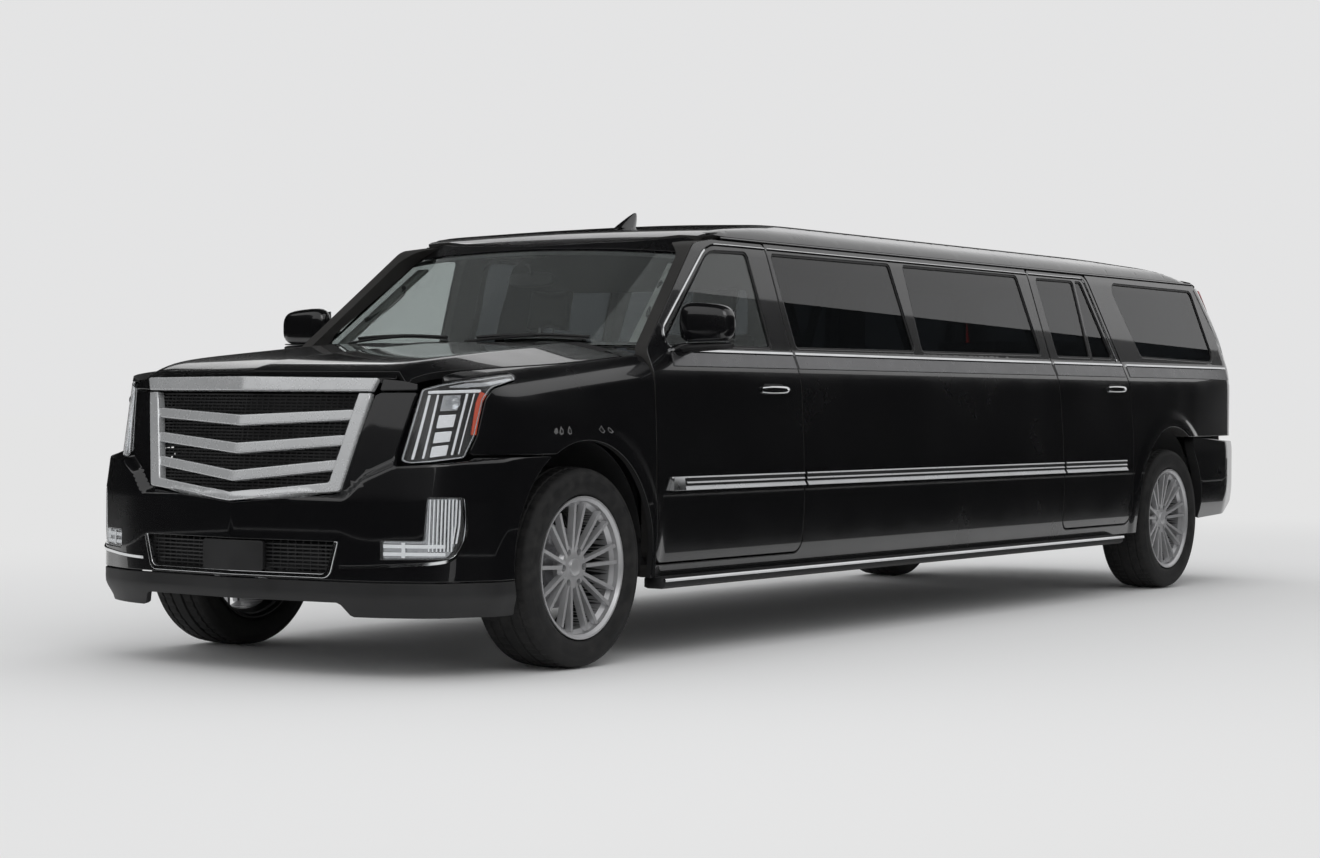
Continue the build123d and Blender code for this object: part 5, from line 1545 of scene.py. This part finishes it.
def rear_bumper():
    """The rear bumper's painted skin, its step pad, its black valance and two reflectors."""
    side = []
    for z in np.linspace(404, 884, 14):
        arch = WHEELBASE + math.sqrt(REAR_ARCH_R ** 2 - (z - REAR_ARCH_Z) ** 2) + 8
        side.append((rear_t(max(arch, 6352.0)), z))
    foot = [(0, 600, 0), (rear_t(7190), 598, 40), (rear_t(7140), 560, 90), (rear_t(6900), 408, 160),
            (rear_t(6500), 392, 0)]
    half = [tuple(p) for p in rounded(foot, False, 30, 9)] + side + [(0, 884)]
    skin = panel("rear_bumper_skin", rear_at, mirrored_outline(half),
                 [mats["body_paint"], mats["black_trim"]],
                 depth=58, spacing=(36, 30), mirror=False)
    attach(skin, "body", ["rear_bumper"])
    pad = [(rear_t(7150), 889, 4), (-rear_t(7150), 889, 4), (-rear_t(7150), 846, 4), (rear_t(7150), 846, 4)]
    attach(panel("rear_step_pad", rear_at, loop_of(pad), [mats["black_trim"]], depth=50, lift=4,
                 mirror=False),
           "body")
    lower = [(-680, 470, 60), (680, 470, 60), (740, 640, 10), (-740, 640, 10)]
    attach(panel("rear_valance", rear_at, loop_of(lower), [mats["black_trim"]], depth=20, lift=-62,
                 mirror=False),
           "body")
    for t in (-640, 640):
        glass = [(t - 60, 652, 8), (t + 60, 652, 8), (t + 60, 684, 8), (t - 60, 684, 8)]
        attach(panel(f"reflector_{'left' if t < 0 else 'right'}", rear_at, loop_of(glass),
                     [mats["tail_lamp"]],
                     depth=8, lift=3, mirror=False), "body")


def tail():
    """The tail lamps' blades and ribs, the gate's bright strip, handle, wiper and high brake lamp."""
    blade = smooth_path([(7060, 1292), (7020, 1380), (6905, 1580), (6818, 1742), (6800, 1780)], 40)
    attach(strip("tail_blade_left", side_at, blade,
                 [(-17, -8), (-17, 3), (-8, 9), (10, 9), (16, 3), (16, -8)],
                 mats["lamp_pale"]), "body")
    rib = smooth_path([(7058, 945), (7060, 1100), (7060, 1285)], 20)
    attach(strip("tail_rib_left", side_at, rib, [(-9, -8), (-9, 5), (9, 5), (9, -8)], mats["tail_lamp"]),
           "body")
    for name, low, high, roll, material, slot in (
            ("gate_strip", (-430, 7174, 1186), (430, 7192, 1206), 5, "silver", "chrome"),
            ("gate_handle", (-150, 7168, 1168), (150, 7184, 1180), 4, "black_trim", "black_trim"),
            ("brake_lamp_high", (-190, 6914, 1782), (190, 6930, 1798), 4, "tail_lamp", "tail_lamp"),
            ("wiper_boss", (-26, 7096, 1352), (26, 7140, 1396), 12, "black_trim", "black_trim")):
        for obj in block(name, low, high, roll, mats[material], False):
            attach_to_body(obj, "tailgate")
    arm = smooth_path([(0, 7126, 1376), (-180, 7120, 1392), (-420, 7086, 1410)], 20)
    for obj in grid("gate_wiper", tube(arm, 8, False), mats["black_trim"], False):
        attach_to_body(obj, "tailgate")


TREAD = [(128, 300), (134, 308), (138.5, 322), (141, 334), (142.3, 346), (141, 358), (139, 368),
         (139.6, 371),
         (136, 382), (129, 390), (121, 396.5), (112, 400.5)]
GROOVES = (80.0, 30.0, -30.0, -80.0)


def tyre_rings(count=180):
    """A tyre's rings about its own middle, x out: sidewall lines, four grooves and shoulder slots."""
    side = [(112, 280), (112, 290), *TREAD]
    crown_x = []
    for x in np.arange(106, -107, -4.0):
        crown_x.append(x)
    profile = [(x, r, 0) for x, r in side]
    for x in crown_x:
        groove = any(abs(x - g) < 5 for g in GROOVES)
        profile.append((x, TYRE_R - 6.2 * (abs(x) / 112) ** 2.4 - (7 if groove else 0), 0 if groove else 1))
    profile += [(-x, r, 0) for x, r in side[::-1]]
    profile += [(-98, 280, 0), (-98, 294, 0), (98, 294, 0), (98, 280, 0)]
    rings = []
    for k in range(count):
        turn = 2 * math.pi * k / count
        ring = []
        for x, r, tread in profile:
            cut = 4.5 if tread and (k + (1 if x > 0 else 0)) % 3 == 0 and (abs(x) > 84
                                                                           or 34 < abs(x) < 76) else 0
            ring.append((x, (r - cut) * math.cos(turn), (r - cut) * math.sin(turn)))
        rings.append(ring)
    return np.array(rings)


def wheels():
    """Treaded tyres, and each rim's cap and lug nuts."""
    tyre = tyre_rings()
    for end, station in (("front", 0.0), ("rear", WHEELBASE)):
        body = f"{end}_wheel_left"
        at = np.array([WHEEL_X, station, HUB_Z])
        attach(grid(f"{end}_tread_left", tyre + at, mats["tyre"], closed_long=True, smooth_angle=32), body,
               [f"{end}_tyre_left"])
        cap = [[(x, r * math.cos(a), r * math.sin(a)) for a in np.linspace(0, 2 * math.pi, 40,
                                                                           endpoint=False)]
               for x, r in ((76, 35), (86, 35), (89, 33), (91, 26), (92, 4))]
        attach(grid(f"{end}_cap_left", np.array(cap) + at, mats["alloy"]), body)
        for lug in range(6):
            angle = math.radians(60 * lug + 30)
            middle = np.array([0, 69.85 * math.sin(-angle), 69.85 * math.cos(angle)])
            nut = [[(x, r * math.cos(a), r * math.sin(a)) for a in np.linspace(0, 2 * math.pi, 6,
                                                                               endpoint=False)]
                   for x, r in ((38, 10.5), (58, 10.5), (62, 8), (63, 1.5))]
            attach(grid(f"{end}_nut_{lug + 1}_left", np.array(nut) + middle + at, mats["chrome"],
                        smooth_angle=20), body)


# ---------------------------------------------------------------- the cabin
def block(name, low, high, roll, material, mirror=True):
    """A box between two corners, its edges rounded."""
    centre, half = (np.array(low) + high) / 2, (np.array(high) - low) / 2
    rows = []
    for tilt in np.radians([-90, -60, -30, 0, 0, 30, 60, 90]):
        top = 1 if len(rows) > 3 else -1
        reach = half[:2] - roll + roll * math.cos(tilt)
        corner = roll * math.cos(tilt) + 0.5
        ring = rounded([(-reach[0], -reach[1], corner), (reach[0], -reach[1], corner),
                        (reach[0], reach[1], corner),
                        (-reach[0], reach[1], corner)], True, 5000, 6)
        height = np.full((len(ring), 1), top * (half[2] - roll) + roll * math.sin(tilt))
        rows.append(np.concatenate([ring, height], axis=1) + centre)
    return grid(name, np.array(rows), material, mirror)


CLOTH_CAP = 0.024          # metres a pad's skin may swell


def stuffed(size, edge=0.045):
    """Points and faces of a stuffed pad about the origin, blown up as cloth and rescaled to its size."""
    shape = bmesh.new()
    bmesh.ops.create_cube(shape, size=1.0)
    start = np.array(size) / 1000 - 0.018
    bmesh.ops.scale(shape, vec=Vector(start), verts=shape.verts)
    edge = min(edge, 0.35 * start.min())
    bmesh.ops.bevel(shape, geom=shape.edges[:], offset=edge, segments=4, profile=0.6, affect="EDGES")
    mesh = bpy.data.meshes.new("pad_core")
    shape.to_mesh(mesh)
    shape.free()
    obj = bpy.data.objects.new("pad_core", mesh)
    bpy.context.scene.collection.objects.link(obj)
    remesh = obj.modifiers.new("even", "REMESH")
    remesh.mode = "VOXEL"
    remesh.voxel_size = max(0.011, 0.008 * (start[0] * start[1] / 0.25) ** 0.5)
    apply_modifiers(obj)
    before = points_of(obj.data)
    cloth = obj.modifiers.new("stuffing", "CLOTH")
    cloth.settings.use_pressure = True
    cloth.settings.uniform_pressure_force = 4.0
    cloth.settings.effector_weights.gravity = 0.0
    cloth.point_cache.frame_start = 1
    cloth.point_cache.frame_end = 20
    for step in range(1, 21):
        bpy.context.scene.frame_set(step)
    apply_modifiers(obj)
    bpy.context.scene.frame_set(1)
    moved = points_of(obj.data) - before
    length = np.linalg.norm(moved, axis=1, keepdims=True)
    points = before + moved * np.minimum(1.0, CLOTH_CAP / np.maximum(length, 1e-9))
    low, high = points.min(axis=0), points.max(axis=0)
    points = (points - (low + high) / 2) / (high - low) * size
    faces = [tuple(face.vertices) for face in obj.data.polygons]
    bpy.data.objects.remove(obj)
    return points, faces


def apply_modifiers(obj):
    """Bakes an object's modifiers into its mesh."""
    solid = bpy.data.meshes.new_from_object(obj.evaluated_get(bpy.context.evaluated_depsgraph_get()))
    obj.modifiers.clear()
    obj.data = solid


def points_of(mesh):
    """A mesh's points as rows."""
    flat = np.empty(len(mesh.vertices) * 3)
    mesh.vertices.foreach_get("co", flat)
    return flat.reshape(-1, 3)


def crowned(points, size, crown, channels, pull=0.0):
    """Sinks a pad's rim below its middle, sews channels across its top and pulls its sides in."""
    u, v = points[:, 0] / size[0] * 2, points[:, 1] / size[1] * 2
    top = np.clip(points[:, 2] / size[2] + 0.5, 0, 1)
    out = points.copy()
    out[:, 2] -= crown * top * (0.55 * np.abs(u) ** 2.6 + 0.45 * np.abs(v) ** 2.6)
    for axis, place in channels:
        reach = 0.86 if axis == 0 else 0.9
        other = np.abs((v, u)[axis])
        groove = np.exp(-((points[:, axis] - place) / 10.0) ** 2) * np.clip((reach - other) / 0.12, 0, 1)
        out[:, 2] -= 7.0 * top ** 4 * groove
    out[:, 0] *= 1 - pull * (1 - np.abs(v) ** 2) / size[0] * 2
    out[:, 1] *= 1 - pull * (1 - np.abs(u) ** 2) / size[1] * 2
    return out


def piping(points, size, level):
    """A closed path round a pad's rim at a share of its height, just outside its skin."""
    path = []
    height = (level - 0.5) * size[2]
    angle = np.arctan2(points[:, 1] / size[1], points[:, 0] / size[0])
    for turn in np.linspace(-math.pi, math.pi, 90, endpoint=False):
        off = np.abs((angle - turn + math.pi) % (2 * math.pi) - math.pi)
        near = np.where((off < 0.09) & (np.abs(points[:, 2] - height) < 14))[0]
        if len(near):
            path.append(points[near].mean(axis=0))
    path = np.array(path)
    for _ in range(2):
        path = (np.roll(path, 1, axis=0) + 2 * path + np.roll(path, -1, axis=0)) / 4
    return path


def tube(path, radius, closed, sides=8):
    """Rings round a path of points."""
    along = np.roll(path, -1, axis=0) - np.roll(path, 1, axis=0) if closed else np.gradient(path, axis=0)
    along /= np.linalg.norm(along, axis=1)[:, None]
    side = np.cross(along, (0.03, 0.05, 1.0))
    side /= np.linalg.norm(side, axis=1)[:, None]
    rise_by = np.cross(side, along)
    turns = np.linspace(0, 2 * math.pi, sides, endpoint=False)
    return np.stack([path + radius * (math.cos(a) * side + math.sin(a) * rise_by) for a in turns], axis=1)


def placed(points, middle, lean, turn=0.0):
    """Points tipped back about x by lean degrees, turned about z, then moved to their middle."""
    a, b = math.radians(lean), math.radians(turn)
    tip = np.array([(1, 0, 0), (0, math.cos(a), -math.sin(a)), (0, math.sin(a), math.cos(a))])
    spin = np.array([(math.cos(b), -math.sin(b), 0), (math.sin(b), math.cos(b), 0), (0, 0, 1)])
    return points @ tip.T @ spin.T + middle


def cushion(name, size, middles, lean, turn, crown, channels, node, pull=8.0, edge=0.045):
    """Pads of one pattern with piping, one at each middle, standing for their node."""
    points, faces = stuffed(size, edge)
    points = crowned(points, size, crown, channels, pull)
    seam = piping(points, size, 0.7)
    for index, middle in enumerate(middles):
        pad = make_object(f"{name}_{index}", placed(points, middle, lean, turn), faces, None,
                          [mats["leather"]])
        rim = grid(f"{name}_piping_{index}", tube(placed(seam, middle, lean, turn), 3.2, True),
                   mats["piping"],
                   mirror=False, closed_long=True)[0]
        for piece in (pad, rim):
            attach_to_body(piece, "body")
            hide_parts(node)


def cabin_seats():
    """The front seats and the lounge's benches: stuffed leather pads on hard bases."""
    cushion("front_seat_cushion", (478, 430, 134), [(470, 1348, 761), (-470, 1348, 761)], -3, 0, 22,
            [(0, -110), (0, 110), (1, -60), (1, 90)], "front_seats")
    cushion("front_seat_back", (470, 640, 112), [(470, 1697, 1080), (-470, 1697, 1080)], 77, 0, 16,
            [(0, -105), (0, 105), (1, -120), (1, 60)], "front_seats")
    cushion("front_headrest", (250, 200, 72), [(470, 1806, 1512), (-470, 1806, 1512)], 78, 0, 8, [],
            "front_seats",
            5.0, 0.03)
    for obj in block("front_seat_base_left", (274, 1186, 522), (656, 1576, 680), 18, mats["cabin_trim"]):
        ride_body(obj, "front_seats")
    for obj in block("front_seat_shell_left", (262, 1590, 700), (678, 1676, 765), 14, mats["cabin_trim"]):
        ride_body(obj, "front_seats")
    for x in (430, 510):
        stem = np.array([(x, 1768, 1370), (x, 1776, 1400), (x, 1790, 1460)], float)
        for obj in grid(f"headrest_stem_{x}_left", tube(smooth_path(stem, 8), 6, False), mats["steel"]):
            ride_body(obj, "front_seats")
    along = [2050 + 386.6 * (k + 0.5) for k in range(6)]
    cushion("side_bench_cushion", (382, 372, 138), [(-568, y, 832) for y in along], 0, 90, 18,
            [(1, -60), (1, 60)],
            "side_bench")
    cushion("side_bench_back", (382, 298, 92), [(-859, y, 1030) for y in along], 84, 90, 12,
            [(0, -95), (0, 95)],
            "side_bench")
    for obj in block("side_bench_base", (-918, 2054, 524), (-392, 4366, 762), 16, mats["cabin_trim"], False):
        ride_body(obj, "side_bench")
    across = [-392, 0, 392]
    cushion("rear_bench_cushion", (388, 466, 146), [(x, 5668, 922) for x in across], -7, 0, 20,
            [(1, -70), (1, 70)],
            "rear_bench")
    cushion("rear_bench_back", (388, 516, 114), [(x, 6034, 1208) for x in across], 74, 0, 14,
            [(0, -95), (0, 95)], "rear_bench")
    for obj in block("rear_bench_base", (-584, 5452, 764), (584, 6060, 816), 16, mats["cabin_trim"], False):
        ride_body(obj, "rear_bench")


def ride_body(obj, node=None):
    """A hard piece of the cabin: it rides on the body and can stand for a node."""
    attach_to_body(obj, "body")
    if node:
        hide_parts(node)


def cabin_trim():
    """Pale pillar trims, the headliner's front rail, the mirror, a grab handle, vents and a display."""
    heights = np.linspace(1330, 1716, 14)
    cover = [(cavity_half(z) - 6, z) for z in heights] + [(cavity_half(z) - 96, z) for z in heights[::-1]]
    for obj in panel("pillar_trim_left", screen_at, np.array(cover), [mats["pale_trim"]], depth=12,
                     lift=-34):
        ride_body(obj)
    grip = [(x, float(screen_y(x, z)) + off, z) for x, off, z in (
        (790, 40, 1440), (765, 62, 1446), (738, 82, 1490), (716, 84, 1550), (706, 66, 1592),
                                                                  (722, 42, 1600))]
    for obj in grid("grab_handle_left", tube(smooth_path(grip, 30), 10, False, 12), mats["black_trim"]):
        ride_body(obj)
    for obj in block("sun_visor_left", (150, 1150, 1742), (600, 1330, 1762), 8, mats["pale_trim"]):
        ride_body(obj)
    ring = superellipse(125, 34, 3.0, 40)
    depth = [(0.86, -17), (0.97, -10), (1.0, 0), (1.0, 8), (0.97, 12)]
    shell = np.array([[(a * f, 1010 + d, 1622 + b * f) for a, b in ring] for f, d in depth])
    for obj in grid("cabin_mirror_housing", shell, mats["black_trim"], False):
        ride_body(obj)
    glass = np.array([[(a * 0.93, 1021 + d, 1622 + b * 0.9) for a, b in ring] for d in (0, 3)])
    for obj in grid("cabin_mirror_glass", glass, mats["mirror"], False):
        ride_body(obj)
    stem = smooth_path(np.array([(0, 1000, 1640), (0, 992, 1668), (0, 972, 1690)], float), 8)
    for obj in grid("cabin_mirror_stem", tube(stem, 9, False, 10), mats["black_trim"], False):
        ride_body(obj)
    for name, low, high, material in (("driver_hood", (250, 760, 1192), (610, 930, 1232), "leather"),
                                      ("display", (-150, 925, 1050), (150, 945, 1172), "screen"),
                                      ("vent_middle_left", (190, 922, 1085), (300, 942, 1150), "black_trim"),
                                      ("vent_outer_left", (740, 922, 1085), (860, 942, 1150), "black_trim"),
                                      ("dash_trim_left", (170, 925, 1040), (890, 938, 1058), "satin"),
                                      ("console_lid", (-120, 1250, 926), (120, 1540, 952), "leather")):
        for obj in block(name, low, high, 6, mats[material], "left" in name):
            ride_body(obj)


# The rims' faces deeper than this get a dark colour: painted shade in the well behind the spokes.
RIM_FACE_X = 0.895         # metres; deeper faces of a rim are its dark well


def dress_nodes():
    """Gives every CAD node the material of its slot. Each rim's deeper faces also get a dark material, which
    paints the shade in its well.
    """
    slots = {row["node"]: row["material_slot"] for row in frame["record"]["subparts"]}
    for name, node in frame["nodes"].items():
        node.data.materials.clear()
        node.data.materials.append(mats[slots[name]])
        if "rim" in name and slots[name] == "alloy":
            # painted shade: the rim's deeper faces take the dark material
            node.data.materials.append(mats["rim_well"])
            for face in node.data.polygons:
                face.material_index = int(abs((node.matrix_world @ face.center).x) < RIM_FACE_X)


dress_nodes()
doors()
side_walls()
windshield()
pillars()
roof()
fenders()
hood()
bumper()
grille()
lower_grille()
headlamps()
corner_lamps()
belt()
window_frame()
moulding()
handles()
running_boards()
mirrors()
wipers()
cowl_grille()
wheels()
rear_bumper()
tail()
cabin_seats()
cabin_trim()
place_camera()
studio_world()
studio()

view = bpy.context.scene.view_settings
view.view_transform = "Standard"
